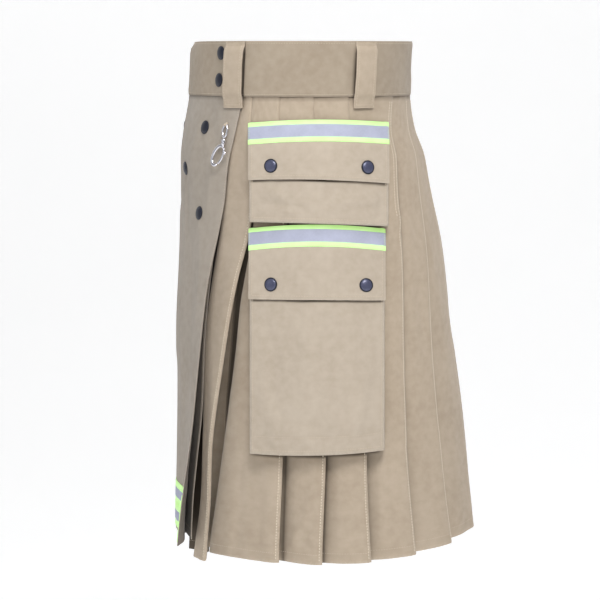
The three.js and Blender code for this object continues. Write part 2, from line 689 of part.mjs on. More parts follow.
function ovalBand(outer, inner, steps) {
  const shape = new THREE.Shape();
  shape.setFromPoints([
    ...stretch(outer.from, outer.to, steps).map((angle) => ovalPoint(outer.x, outer.y, angle)),
    ...stretch(inner.to, inner.from, steps).map((angle) => ovalPoint(inner.x, inner.y, angle)),
  ]);
  return shape;
}

function plate(shape, thick) {
  return new THREE.ExtrudeGeometry(shape, { depth: thick, bevelEnabled: false, steps: 1 })
    .translate(0, 0, -thick / 2);
}

const HOOK_OUTER = { x: 9.2, y: 14.2, from: 72, to: 319.6 };
const HOOK_INNER = { x: 5.8, y: 10.8, from: 72, to: 301.6 };
const GATE_OUTER = { x: 8.8, y: 13.8, from: -38, to: 67 };
const GATE_INNER = { x: 6.4, y: 11.4, from: -48.2, to: 67 };
const GATE_THICK = 2;
const KNOB_RADIUS = 2.3;
const KNOB_OVAL = [11.4, 14.5];
const KNOB_ANGLE = 34;
const KNOB_LIFT = 0.4;
const hook = toSolid(plate(ovalBand(HOOK_OUTER, HOOK_INNER, 16), CLAW_THICK));
const headShape = [
  [0, HEAD_BOTTOM], [HEAD_RADIUS, HEAD_BOTTOM], [HEAD_RADIUS, HEAD_TOP],
  [POST_RADIUS + RUNNING_GAP, HEAD_TOP], [POST_RADIUS + RUNNING_GAP, CHAMBER_TOP],
  [POST_FOOT + RUNNING_GAP, CHAMBER_TOP], [POST_FOOT + RUNNING_GAP, CHAMBER_BOTTOM], [0, CHAMBER_BOTTOM],
].map(([r, y]) => new THREE.Vector2(r, y));
const head = toSolid(new THREE.LatheGeometry(headShape, 10));
add("clasp_claw", fromSolid(hook.add(head)), CHROME, clasp);

// Gate: the spring lever that closes the hook, with its round thumb knob.
const gate = toSolid(plate(ovalBand(GATE_OUTER, GATE_INNER, 8), GATE_THICK));
const knobPlace = ovalPoint(...KNOB_OVAL, KNOB_ANGLE);
const knobBall = new THREE.SphereGeometry(KNOB_RADIUS, 10, 6);
const knob = toSolid(knobBall.translate(knobPlace.x, knobPlace.y, KNOB_LIFT));
add("clasp_gate", fromSolid(gate.add(knob)), CHROME, clasp);

export default kilt;
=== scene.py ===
"""Utility kilt of cotton drill.

Cloth, thread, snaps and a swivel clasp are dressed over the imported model.
"""
import math

import bpy
import numpy as np
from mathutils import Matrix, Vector


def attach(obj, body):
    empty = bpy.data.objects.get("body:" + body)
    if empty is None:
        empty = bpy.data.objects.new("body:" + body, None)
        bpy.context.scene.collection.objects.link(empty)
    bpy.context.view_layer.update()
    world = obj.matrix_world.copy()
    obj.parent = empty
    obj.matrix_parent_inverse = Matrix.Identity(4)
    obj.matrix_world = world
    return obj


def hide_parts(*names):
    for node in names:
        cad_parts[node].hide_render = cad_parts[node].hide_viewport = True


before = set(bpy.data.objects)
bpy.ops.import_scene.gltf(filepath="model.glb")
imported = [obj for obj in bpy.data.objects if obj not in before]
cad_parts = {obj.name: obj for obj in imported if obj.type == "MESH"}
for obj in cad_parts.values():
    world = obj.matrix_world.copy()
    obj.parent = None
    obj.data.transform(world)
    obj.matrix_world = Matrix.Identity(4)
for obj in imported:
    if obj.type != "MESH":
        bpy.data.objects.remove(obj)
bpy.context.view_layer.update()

# All sizes below are millimetres. Depths are measured down from the waistband's top edge, and
# angles go round the body from the wearer's left side towards the back.
METRE = 0.001
LENGTH = 612.0
BAND_HEIGHT = 65.0
TOP = BAND_HEIGHT / 2
SEAM = 0.3
BACK_RISE = 24.0
RISE_START = -25.0
CENTRE_BACK = 90.0
SKIRT_TOP = BAND_HEIGHT + SEAM / 2
SHELL = 1.0
BAND_SHELL = 2.2
FLAP_SHELL = 1.5
TAPE_SHELL = 0.5
LOOP_SHELL = 1.7


def table(names, rows):
    columns = np.array(rows, float).T
    return dict(zip(names.split(), columns))


BODY = table("depth half_width half_depth back", [
    (0, 155, 136.2, 0), (64, 156, 135.6, -3.6), (106, 163, 140.9, -2.8), (135, 170, 147.1, 2.4),
    (165, 174, 149.9, 5.8), (245, 182, 158.6, 13.7), (345, 190, 167, 17.9), (460, 199, 175.5, 25.9),
    (585, 207, 183.6, 31.7), (612, 209, 185.2, 33.5)])
PLEAT = table("depth tuck layer drop", [
    (65, 9, 1.1, 0.5), (120, 9.6, 1.4, 1.2), (200, 11, 2, 2.6), (330, 15, 2.6, 5),
    (480, 18, 3.2, 8), (612, 20, 3.6, 10)])
EDGES = table("depth second third fourth fifth sixth seventh eighth", [
    (65, -27, -10, 8, 38.2, 55.5, 69, 79), (120, -27.5, -10.5, 7.5, 32, 49.5, 65.5, 79),
    (200, -28, -11, 7, 26, 43.5, 61.5, 78.5), (330, -30.5, -13.5, 4, 21.5, 38.8, 59.8, 79),
    (480, -33.2, -16.7, -0.9, 16.4, 34.8, 59.2, 80), (612, -36, -20, -1.8, 16.9, 36.1, 60, 80)])
LATER_PLEATS = ["third", "fourth", "fifth", "sixth", "seventh", "eighth"]
BACK_PLEAT_EDGE = 88.6
BACK_SEAM = 89.95
FRONT_COLUMNS = "depth start start_out ridge ridge_out edge gap drop"
OPEN_FRONT = table(FRONT_COLUMNS, [
    (65, -56, -5.4, -50.5, -4.6, -41, 0.1, 0.4), (200, -66, -8, -60, -4.6, -43.3, 0.4, 2),
    (284, -74, -16, -67, -5, -51.5, 2.3, 12), (370, -79, -22, -72, -5, -57.9, 4.4, 20),
    (470, -80, -26, -73, -4, -65.5, 5.2, 24), (548, -80.5, -28, -74.5, -4, -67.0, 2.2, 21),
    (612, -85.5, -30, -79.5, -3, -70, 1.1, 17)])
CLOSED_FRONT = table(FRONT_COLUMNS, [
    (65, -56, -5.4, -50.5, -4.6, -41, 0.1, 0.4), (200, -61, -7, -56, -4.6, -43, 0.4, 2),
    (330, -66, -11, -60, -4.8, -46.5, 0.8, 7), (480, -69, -14, -63, -5, -50.5, 1.2, 11),
    (612, -71, -16, -65, -5, -53, 1.5, 14)])
APRON = table("depth left right kick", [
    (65, 108.5, 108.5, 0), (110, 106, 109, 0), (154, 98.5, 108, 0), (192, 95, 107, 0.5),
    (284, 84, 105, 8.5), (350, 80, 104, 11.6), (458, 77, 104, 20.5), (548, 76, 104, 30.7),
    (612, 76, 104, 36.7)])
UNDER_APRON = table("depth left right kick", [
    (65, 97, 91, 0), (154, 88, 84, 0), (200, 83, 80, 0), (284, 72, 76, 0.5), (358, 66, 74, 1),
    (437, 64, 73, 2.8), (508, 62, 72, 8), (552, 61, 72, 11), (612, 60, 72, 12.3)])
APRON_SHORT = 8.0
UNDER_APRON_SHORT = 12.0
UNDER_APRON_OUT = -2.6
LOOP_PROFILE = table("depth out", [
    (0.6, 3.1), (5, 3.1), (12, 6.2), (60, 6.6), (69, 4.0), (78.5, 2.3)])
LOOPS = {"left_front": -50.7, "left_side": 15.8, "back": 90.0, "right_side": 164.2,
         "right_front": 231.3}
LOOP_WIDTH = 27.6
BAND_OUT = 0.6
BAND_END = -46.3
TAB_END = -74.0
TAB_OUT = BAND_OUT - 2.4 - 1.2
# The waist is flatter in front and behind than the oval: how far it is nipped in, and over which
# angles and depths the nip fades out.
FRONT_NIP = 5.0
FRONT_NIP_NEAR_ANGLES = (20, 36)
FRONT_NIP_FAR_ANGLES = (40, 54)
FRONT_NIP_DEPTHS = (60, 150)
BACK_NIP = 2.6
BACK_NIP_ANGLES = (14, 40)
BACK_NIP_DEPTHS = (5, 60)
WAIST_SNAP_DEPTHS = [14.0, 46.0]
WAIST_SNAP_ANGLES = [-60.3, -61.2]
APRON_SNAPS = {"left_top": (54, 102.6), "right_top": (-80, 102.6), "middle": (0, 153.5),
               "left_bottom": (49, 205.4), "right_bottom": (-78, 205.4)}
APRON_TAPES = {"apron_tape_upper": (543.0, 571.0), "apron_tape_lower": (571.4, 599.4)}
POCKET_FACING = math.radians(-16)
POCKET_BOW = 260.0
POCKETS = {
    "upper": dict(left=-59.0, right=103.0, flap_top=96.0, flap_bottom=165.0, mouth=130.0,
                  bottom=211.0, stand=(8.5, 10.0, 11.0), snaps=(-34.0, 79.0), snap_depth=148.5,
                  tape_dip=(0, -4.4, 0), flap_dip=(-3.2, -4.7, 0.9), bag_dip=(-0.4, 0.4, 4.6)),
    "lower": dict(left=-58.5, right=98.4, flap_top=216.0, flap_bottom=304.0, mouth=250.0,
                  bottom=484.0, stand=(9.0, 13.0, 16.0), snaps=(-34.0, 77.0), snap_depth=285.5,
                  tape_dip=(3.4, -2.8, 3.8), flap_dip=(-3.4, -4.2, -2.4),
                  bag_dip=(-2.5, -3.4, -8.0)),
}
FLAP_OVERHANG = 1.2
TAPE_HEIGHT = 25.0
POCKET_BACK = 1.9

# Creases pressed into the cloth: where each starts and ends as (across, depth), how wide it is, and
# how far it rises, or sinks when negative. Across is mm along the cloth round the body.
SKIRT_CREASES = [
    ((-66, 520), (-104, 586), 7, 1.6), ((-70, 532), (-96, 592), 6, -1.3),
    ((-88, 500), (-72, 516), 9, -1.0), ((-132, 470), (-140, 600), 5, 0.7),
    ((-176, 480), (-182, 600), 6, -0.8), ((64, 205), (92, 232), 9, 1.5),
    ((60, 226), (88, 246), 8, -1.2), ((78, 78), (86, 128), 7, -0.8),
    ((30, 340), (36, 560), 12, 0.8), ((96, 300), (104, 470), 10, -0.9),
    ((140, 260), (150, 420), 12, 0.9), ((118, 470), (126, 590), 9, 0.9),
    ((175, 480), (186, 590), 9, -0.9), ((210, 220), (226, 320), 12, 1.0),
    ((12, 500), (4, 590), 8, 0.8), ((-20, 505), (-12, 560), 9, -0.7),
    ((240, 380), (232, 540), 12, 0.9), ((200, 90), (192, 170), 9, -0.8),
    ((-150, 300), (-170, 420), 9, 0.9), ((-120, 240), (-138, 330), 8, -0.8),
    ((52, 480), (58, 600), 8, -0.8),
]
APRON_CREASES = [
    ((60, 84), (78, 120), 7, -0.9), ((40, 100), (20, 148), 9, 0.9),
    ((-36, 108), (-12, 150), 9, -0.9),
    ((48, 214), (60, 330), 12, 1.1), ((20, 240), (28, 430), 14, -1.1),
    ((-50, 214), (-60, 380), 13, 1.1), ((-20, 300), (-14, 520), 15, 1.0),
    ((62, 380), (58, 540), 10, -1.0), ((-82, 260), (-86, 500), 12, -1.0),
    ((70, 130), (64, 200), 8, 0.8), ((-78, 90), (-70, 190), 9, 0.8), ((0, 160), (8, 230), 8, -0.9),
]
POCKET_CREASES = {
    "upper": [((-44, 188), (10, 200), 6, -0.8), ((40, 190), (88, 184), 7, 0.8),
              ((-30, 172), (-10, 200), 7, 0.7)],
    "lower": [((-40, 330), (-28, 420), 9, -0.9), ((20, 312), (64, 330), 9, 0.9),
              ((60, 350), (72, 450), 10, 0.9), ((-20, 440), (30, 462), 8, -1.0),
              ((-48, 400), (-30, 470), 7, 0.8), ((84, 400), (70, 470), 8, -0.9),
              ((0, 330), (14, 400), 12, 0.8)],
}
FLAP_CREASES = {
    "upper": [((-50, 130), (-36, 160), 5, -0.5), ((20, 136), (34, 162), 8, 0.6),
              ((88, 128), (80, 158), 6, -0.5)],
    "lower": [((-48, 256), (-38, 300), 6, -0.6), ((-10, 250), (4, 300), 9, 0.6),
              ((40, 262), (52, 302), 8, -0.6), ((86, 250), (80, 300), 6, 0.5)],
}
# The right side repeats these creases a little elsewhere, and its first pleat hangs closed.
RIGHT_CREASE_START = (9, -14)
RIGHT_CREASE_END = (6, -8)
FREE_FOLD_SAG = 13.0
LAST_COVERED_PLEAT = 3
RUMPLE_WAVES = (1.0, 0.62, 0.4, 0.27)
RUMPLE_REACH = 4.6

# How each kind of seam is sewn: how far its thread lies over the cloth, its pitch and its radius.
STITCHES = {
    "plain": (0.08, 3.1, 0.3), "band": (0.04, 3.1, 0.22), "apron": (0.05, 3.1, 0.24),
    "hem": (0.04, 3.1, 0.24), "pleat": (0.08, 3.4, 0.4), "groove": (0.08, 3.1, 0.26),
    "tape": (0.06, 3.1, 0.24), "bar_tack": (0.1, 1.6, 0.36),
}
STITCH_SHARE = 0.74


# Curves and sections
def value_at(rows, column, depth):
    """Smooth value of one column of a table at a depth."""
    depths, values = rows["depth"], rows[column]
    if depth <= depths[0]:
        return float(values[0])
    if depth >= depths[-1]:
        return float(values[-1])
    i = int(np.searchsorted(depths, depth, side="left")) - 1
    last = len(depths) - 1

    def slope(k):
        low, high = max(k - 1, 0), min(k + 1, last)
        return (values[high] - values[low]) / (depths[high] - depths[low])

    span = depths[i + 1] - depths[i]
    f = (depth - depths[i]) / span
    rise = f * f * (3 - 2 * f)
    bend = span * f * (1 - f) * ((1 - f) * slope(i) - f * slope(i + 1))
    return float(values[i] * (1 - rise) + values[i + 1] * rise + bend)


def section(depth):
    """Half width, half depth and middle of the body's oval at a depth."""
    return tuple(value_at(BODY, column, depth) for column in ("half_width", "half_depth", "back"))


def on_body(angle, depth, out=0.0):
    """Points at a distance out from the body's oval, which is nipped in at the waist."""
    a, b, back = section(depth)
    c, s = np.cos(np.radians(angle)), np.sin(np.radians(angle))
    n = np.hypot(c / a, s / b)
    from_front = (angle + 270) % 360 - 180
    front = np.where(from_front > 0, 1 - smoothstep(from_front, *FRONT_NIP_NEAR_ANGLES),
                     1 - smoothstep(-from_front, *FRONT_NIP_FAR_ANGLES))
    behind = 1 - smoothstep(np.abs(angle - CENTRE_BACK), *BACK_NIP_ANGLES)
    out = out - FRONT_NIP * front * (1 - smoothstep(depth, *FRONT_NIP_DEPTHS))
    out = out - BACK_NIP * behind * (1 - smoothstep(depth, *BACK_NIP_DEPTHS))
    z = np.full_like(c, TOP - depth)
    return np.stack([a * c + out * c / a / n, back + b * s + out * s / b / n, z], -1)


def degrees_per_mm(angle, depth):
    a, b, _ = section(depth)
    turn = math.radians(angle)
    return math.degrees(1 / math.hypot(a * math.sin(turn), b * math.cos(turn)))


def smoothstep(x, low, high):
    f = np.clip((x - low) / (high - low), 0, 1)
    return f * f * (3 - 2 * f)


def hump(x, centre, width):
    """Smooth rise and fall about a centre, one at its top."""
    return np.exp(-((x - centre) / width) ** 2)


def levels_through(*stretches):
    """Levels through even stretches of (start, end, count), each starting where the last ended."""
    parts = [np.linspace(*stretch) for stretch in stretches]
    return np.concatenate(parts[:1] + [part[1:] for part in parts[1:]])


def hem_depth(angle):
    return LENGTH - BACK_RISE * smoothstep(angle, RISE_START, CENTRE_BACK)


# Surfaces
class Surface:
    """A grid of cloth points, with its normals and its lengths along both ways."""

    def __init__(self, grid, across, depths, outward=1):
        self.grid, self.outward = grid, outward
        self.across, self.depths = np.asarray(across), np.asarray(depths)
        self.measure()

    def measure(self):
        g = self.grid
        along = np.gradient(g, axis=1)
        down = np.gradient(g, axis=0)
        n = np.cross(down, along) * self.outward
        self.normals = n / np.maximum(np.linalg.norm(n, axis=-1, keepdims=True), 1e-9)
        steps = np.linalg.norm(np.diff(g, axis=1), axis=-1)
        self.run = np.concatenate([np.zeros((g.shape[0], 1)), np.cumsum(steps, 1)], 1)
        falls = np.linalg.norm(np.diff(g, axis=0), axis=-1)
        self.fall = np.concatenate([np.zeros((1, g.shape[1])), np.cumsum(falls, 0)], 0)

    def push(self, amount):
        self.grid = self.grid + self.normals * amount[..., None]
        self.measure()

    def raised(self, distance, rows=slice(None)):
        lifted = (self.grid + self.normals * distance)[rows]
        return Surface(lifted, self.across, self.depths[rows], self.outward)

    def mirrored(self):
        return Surface(self.grid * np.array([-1.0, 1, 1]), self.across, self.depths, -self.outward)

    def pick(self, rows, columns):
        """Points and normals at fractional rows and columns."""
        r = np.clip(np.asarray(rows, float), 0, self.grid.shape[0] - 1.001)
        c = np.clip(np.asarray(columns, float), 0, self.grid.shape[1] - 1.001)
        i, j = r.astype(int), c.astype(int)
        f, g = (r - i)[..., None], (c - j)[..., None]

        def blend(values):
            top = values[i, j] * (1 - g) + values[i, j + 1] * g
            low = values[i + 1, j] * (1 - g) + values[i + 1, j + 1] * g
            return top * (1 - f) + low * f

        n = blend(self.normals)
        return blend(self.grid), n / np.linalg.norm(n, axis=-1, keepdims=True)

    def at(self, across, depth):
        rows = np.interp(depth, self.depths, np.arange(len(self.depths)))
        columns = np.interp(across, self.across, np.arange(len(self.across)))
        return self.pick(rows, columns)

    def beside(self, side, inset, clip=(0.0, 0.0)):
        """The line that runs a distance in from one side, shortened at its two ends."""
        rows, columns = self.grid.shape[:2]
        if side in ("left", "right"):
            r = np.arange(rows)
            wanted = [inset if side == "left" else self.run[k, -1] - inset for k in r]
            c = np.array([np.interp(w, self.run[k], np.arange(columns)) for k, w in zip(r, wanted)])
            keep = (self.fall[:, 0] >= clip[0]) & (self.fall[:, 0] <= self.fall[-1, 0] - clip[1])
            return self.pick(r[keep], c[keep])
        c = np.arange(columns)
        wanted = [inset if side == "top" else self.fall[-1, k] - inset for k in c]
        r = np.array([np.interp(w, self.fall[:, k], np.arange(rows)) for k, w in zip(c, wanted)])
        keep = (self.run[0] >= clip[0]) & (self.run[0] <= self.run[0, -1] - clip[1])
        return self.pick(r[keep], c[keep])


def creased(creases, across, depth):
    """Height of a set of soft creases over a grid of places."""
    height = np.zeros(np.broadcast(across, depth).shape)
    for (u0, v0), (u1, v1), width, rise in creases:
        length = math.hypot(u1 - u0, v1 - v0)
        du, dv = (u1 - u0) / length, (v1 - v0) / length
        along = (across - u0) * du + (depth - v0) * dv
        bow = 0.06 * length * np.sin(np.pi * np.clip(along / length, 0, 1))
        away = (across - u0) * dv - (depth - v0) * du - bow
        ends = np.clip(np.maximum(-along, along - length) / (0.25 * length), 0, None)
        height = height + rise * np.exp(-(away / width) ** 2 - (3 * ends) ** 2)
    return height


def rumpled(across, depth, seed, size, upright=2.2):
    """Gentle unevenness of hanging cloth, its waves longer down the cloth than round it."""
    random = np.random.default_rng(seed)
    total = np.zeros(np.broadcast(across, depth).shape)
    for wave in RUMPLE_WAVES:
        for _ in range(2):
            turn = random.uniform(-0.5, 0.5)
            phase = random.uniform(0, 2 * math.pi)
            k = 2 * math.pi / (size * wave)
            way = across * math.cos(turn) + depth * math.sin(turn) / upright
            total = total + wave * np.sin(k * way + phase)
    return total / RUMPLE_REACH


# Meshes
def make_object(name, vertices, faces, materials, places=None):
    mesh = bpy.data.meshes.new(name)
    corners = [list(map(int, face)) for face in faces]
    mesh.from_pydata((np.asarray(vertices) * METRE).tolist(), [], corners)
    mesh.update()
    for material in materials:
        mesh.materials.append(material)
    if places is not None:
        mesh.polygons.foreach_set("material_index", np.asarray(places, np.int32))
    mesh.shade_smooth()
    mesh.set_sharp_from_angle(angle=math.radians(52))
    piece = bpy.data.objects.new(name, mesh)
    bpy.context.scene.collection.objects.link(piece)
    return piece


def cloth_piece(name, surface, thickness, materials, seam=None, worn=None, row_material=None,
                shade=None, inside_shade=0.3):
    """A thin closed shell round a surface, with its cloth map and its masks; its inner side gets at
    least the inside's painted shade.
    """
    g, half = surface.grid, surface.normals * thickness / 2
    rows, columns = g.shape[:2]
    vertices = np.concatenate([(g + half).reshape(-1, 3), (g - half).reshape(-1, 3)])
    ids = np.arange(rows * columns).reshape(rows, columns)
    under = ids + rows * columns
    front = np.stack([ids[:-1, :-1], ids[:-1, 1:], ids[1:, 1:], ids[1:, :-1]], -1).reshape(-1, 4)
    back = np.stack([under[:-1, :-1], under[1:, :-1], under[1:, 1:], under[:-1, 1:]], -1)
    back = back.reshape(-1, 4)
    left = np.stack([ids[:-1, 0], ids[1:, 0], under[1:, 0], under[:-1, 0]], -1)
    right = np.stack([ids[:-1, -1], under[:-1, -1], under[1:, -1], ids[1:, -1]], -1)
    top = np.stack([ids[0, :-1], under[0, :-1], under[0, 1:], ids[0, 1:]], -1)
    low = np.stack([ids[-1, :-1], ids[-1, 1:], under[-1, 1:], under[-1, :-1]], -1)
    faces = np.concatenate([front, back, left, right, top, low])
    if surface.outward > 0:
        faces = faces[:, ::-1]
    places = np.zeros(len(faces), int)
    if row_material is not None:
        places[:(rows - 1) * (columns - 1)] = np.repeat(row_material, columns - 1)
    piece = make_object(name, vertices, faces, materials, places)
    mesh = piece.data
    u = np.broadcast_to(surface.run.mean(0), (rows, columns))
    v = np.broadcast_to(surface.fall.mean(1)[:, None], (rows, columns))
    flat = np.stack([u.reshape(-1), -v.reshape(-1)], -1) * METRE
    flat = np.concatenate([flat, flat])
    layer = mesh.uv_layers.new(name="cloth")
    loops = np.empty(len(mesh.loops), np.int32)
    mesh.loops.foreach_get("vertex_index", loops)
    layer.data.foreach_set("uv", flat[loops].astype(np.float32).reshape(-1))
    for label, mask in (("seam", seam), ("worn", worn), ("shade", shade)):
        values = np.broadcast_to(0.0 if mask is None else mask, (rows, columns))
        # Painted shade: the inner side of every shell is darkened at least to the inside shade, for
        # the shadow inside the garment.
        inner = np.maximum(values, inside_shade) if label == "shade" else values
        values = np.concatenate([values.reshape(-1), inner.reshape(-1)]).astype(np.float32)
        mesh.attributes.new(label, "FLOAT", "POINT").data.foreach_set("value", values)
    return piece


def near_sides(surface, reach, sides="left right top bottom"):
    """Mask that is one along the named sides and fades to nothing over a distance."""
    run, fall = surface.run, surface.fall
    gaps = {"left": run, "right": run[:, -1:] - run, "top": fall, "bottom": fall[-1:] - fall}
    nearest = np.min([gaps[side] for side in sides.split()], axis=0)
    return np.clip(1 - nearest / reach, 0, 1)


def near(distance, reach):
    """Mask that is one where a distance is nothing, and fades to nothing over a reach."""
    return np.clip(1 - distance / reach, 0, 1)


def dressed(piece, node, body="kilt"):
    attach(piece, body)
    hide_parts(node)
    return piece


# Thread
class Thread:
    """Collects stitches, and makes them one piece of many short raised threads."""

    TEMPLATE = np.array([
        (-0.5, 0, -0.35), (-0.3, -1, 0), (-0.3, 0, 0.9), (-0.3, 1, 0), (-0.3, 0, -0.6),
        (0.3, -1, 0), (0.3, 0, 0.9), (0.3, 1, 0), (0.3, 0, -0.6), (0.5, 0, -0.35)])
    FACES = [(0, 2, 1), (0, 3, 2), (0, 4, 3), (0, 1, 4),
             (1, 2, 6, 5), (2, 3, 7, 6), (3, 4, 8, 7), (4, 1, 5, 8),
             (9, 5, 6), (9, 6, 7), (9, 7, 8), (9, 8, 5)]

    def __init__(self):
        self.seams = []

    def sew(self, line, shell, kind="plain"):
        """Stitches along a line of points and normals, over a shell of cloth."""
        over, pitch, radius = STITCHES[kind]
        points, normals = line
        points = points + normals * (shell / 2 + over)
        steps = np.linalg.norm(np.diff(points, axis=0), axis=1)
        run = np.concatenate([[0], np.cumsum(steps)])
        count = max(int(run[-1] / pitch), 1)
        centres = (np.arange(count) + 0.5) * run[-1] / count

        def at(values, places):
            return np.stack([np.interp(places, run, values[:, k]) for k in range(3)], -1)

        def unit(vectors):
            return vectors / np.maximum(np.linalg.norm(vectors, axis=1, keepdims=True), 1e-9)

        along = unit(at(points, centres + 0.6) - at(points, centres - 0.6))
        up = at(normals, centres)
        up = unit(up - along * (up * along).sum(1, keepdims=True))
        length = np.full(count, run[-1] / count * STITCH_SHARE)
        self.seams.append((at(points, centres), along, up, length, np.full(count, radius)))

    def sew_beside(self, surface, sides, inset, shell, kind="plain", clip=(0.0, 0.0)):
        for side in sides.split():
            self.sew(surface.beside(side, inset, clip), shell, kind)

    def piece(self, name, material, body="kilt", slot="cloth"):
        centre, along, up, length, radius = (np.concatenate(column) for column in zip(*self.seams))
        side = np.cross(along, up)
        t = self.TEMPLATE[:, :, None]
        length, radius = length[:, None, None], radius[:, None, None]
        vertices = (centre[:, None] + along[:, None] * (t[:, 0] * length)
                    + side[:, None] * (t[:, 1] * radius)
                    + up[:, None] * (t[:, 2] * radius)).reshape(-1, 3)
        count = len(self.TEMPLATE)
        faces = [[count * k + v for v in face] for k in range(len(centre)) for face in self.FACES]
        piece = make_object(name, vertices, faces, [material])
        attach(piece, body)


# Shader groups
RIB_WAVES = 628.0
MM_PER_METRE = 1000.0
DEEP_SHADE = (0.03, 0.02, 0.012)


def new_group(name, inputs, outputs):
    group = bpy.data.node_groups.new(name, "ShaderNodeTree")
    for label, kind, value in inputs:
        socket = group.interface.new_socket(name=label, in_out="INPUT", socket_type=kind)
        if value is not None:
            socket.default_value = value
    for label, kind in outputs:
        group.interface.new_socket(name=label, in_out="OUTPUT", socket_type=kind)
    return group, group.nodes.new("NodeGroupInput"), group.nodes.new("NodeGroupOutput")


def node(tree, kind, settings=(), **inputs):
    made = tree.nodes.new(kind)
    for label, value in dict(settings).items():
        setattr(made, label, value)
    for label, value in inputs.items():
        place = int(label[1:]) if label[1:].isdigit() else label.replace("_", " ")
        if hasattr(value, "is_output"):
            tree.links.new(value, made.inputs[place])
        else:
            made.inputs[place].default_value = value
    return made


def maths(tree, operation, a, b=0.0, c=0.0):
    return node(tree, "ShaderNodeMath", {"operation": operation}, i0=a, i1=b, i2=c).outputs[0]


def noise(tree, place, scale, detail, roughness=0.5):
    return node(tree, "ShaderNodeTexNoise", {}, Vector=place, Scale=scale, Detail=detail,
                Roughness=roughness).outputs["Fac"]


def stretched(tree, value, low, high):
    """A value's range from low to high, stretched to run from nothing to one."""
    return node(tree, "ShaderNodeMapRange", {}, Value=value, From_Min=low, From_Max=high).outputs[0]


def bumped(tree, height, strength, distance, **normal):
    return node(tree, "ShaderNodeBump", {}, Strength=strength, Distance=distance, Height=height,
                **normal).outputs[0]


def attribute(tree, name):
    return node(tree, "ShaderNodeAttribute", {"attribute_name": name}).outputs["Fac"]


def sent_out(group, end, **outputs):
    for label, value in outputs.items():
        group.links.new(value, end.inputs[label.replace("_", " ")])
    return group


def drill_weave_group():
    """Fine diagonal ribs of drill with uneven yarns, measured on the cloth map."""
    group, start, end = new_group("drill_weave", [("Rib pitch mm", "NodeSocketFloat", 0.9)],
                                  [("Height", "NodeSocketFloat"), ("Yarn", "NodeSocketFloat")])
    place = node(group, "ShaderNodeUVMap", {"uv_map": "cloth"}).outputs[0]
    scale = maths(group, "DIVIDE", RIB_WAVES, start.outputs["Rib pitch mm"])
    ribs = node(group, "ShaderNodeTexWave", {"bands_direction": "DIAGONAL"}, Vector=place,
                Scale=scale, Distortion=1.2, Detail=2.0, Detail_Scale=1.4).outputs["Fac"]
    yarn = noise(group, place, 900.0, 3.0, 0.6)
    slub = node(group, "ShaderNodeMapping", {}, Vector=place, Scale=(60.0, 900.0, 1.0))
    streak = noise(group, slub.outputs[0], 1.0, 2.0)
    height = maths(group, "MULTIPLY_ADD", ribs, 0.55, maths(group, "MULTIPLY", yarn, 0.45))
    mixed = maths(group, "MULTIPLY_ADD", streak, 0.5, maths(group, "MULTIPLY", yarn, 0.5))
    return sent_out(group, end, Height=height, Yarn=mixed)


def faded_tone_group():
    """Soft patches of faded and fuller dye over the cloth."""
    group, start, end = new_group("faded_tone", [("Patch size mm", "NodeSocketFloat", 60.0)], [
        ("Patches", "NodeSocketFloat"), ("Fine patches", "NodeSocketFloat")])
    place = node(group, "ShaderNodeUVMap", {"uv_map": "cloth"}).outputs[0]
    scale = maths(group, "DIVIDE", MM_PER_METRE, start.outputs["Patch size mm"])
    broad = noise(group, place, scale, 3.0)
    fine = noise(group, place, maths(group, "MULTIPLY", scale, 7.0), 3.0)
    return sent_out(group, end, Patches=stretched(group, broad, 0.32, 0.68),
                    Fine_patches=stretched(group, fine, 0.32, 0.68))


def pucker_wear_shade_group():
    """Small puckers beside sewn edges, the wear mask of raised edges, and the painted shade mask.
    """
    group, start, end = new_group("pucker_wear_painted_shade", [("Pucker size mm", "NodeSocketFloat", 7.0)], [
        ("Pucker", "NodeSocketFloat"), ("Wear", "NodeSocketFloat"), ("Shade", "NodeSocketFloat")])
    place = node(group, "ShaderNodeUVMap", {"uv_map": "cloth"}).outputs[0]
    scale = maths(group, "DIVIDE", MM_PER_METRE, start.outputs["Pucker size mm"])
    lumps = noise(group, place, scale, 1.5)
    fray = stretched(group, noise(group, place, 400.0, 3.0), 0.3, 0.6)
    return sent_out(group, end, Pucker=maths(group, "MULTIPLY", lumps, attribute(group, "seam")),
                    Wear=maths(group, "MULTIPLY", attribute(group, "worn"), fray),
                    Shade=attribute(group, "shade"))


WEAVE, TONE, PUCKER_WEAR_SHADE = drill_weave_group(), faded_tone_group(), pucker_wear_shade_group()


def set_sockets(made, **values):
    for label, value in values.items():
        made.inputs[label.replace("_", " ")].default_value = value


def placed(tree, group, **values):
    made = tree.nodes.new("ShaderNodeGroup")
    made.node_tree = group
    set_sockets(made, **values)
    return made


def mixed_colour(tree, factor, first, second, blend="MIX"):
    made = tree.nodes.new("ShaderNodeMix")
    made.data_type, made.blend_type = "RGBA", blend
    for index, value in ((0, factor), (6, first), (7, second)):
        if hasattr(value, "is_output"):
            tree.links.new(value, made.inputs[index])
        else:
            made.inputs[index].default_value = value
    return made.outputs[2]


def new_material(name):
    material = bpy.data.materials.new(name)
    material.use_nodes = True
    tree = material.node_tree
    return material, tree, tree.nodes["Principled BSDF"]


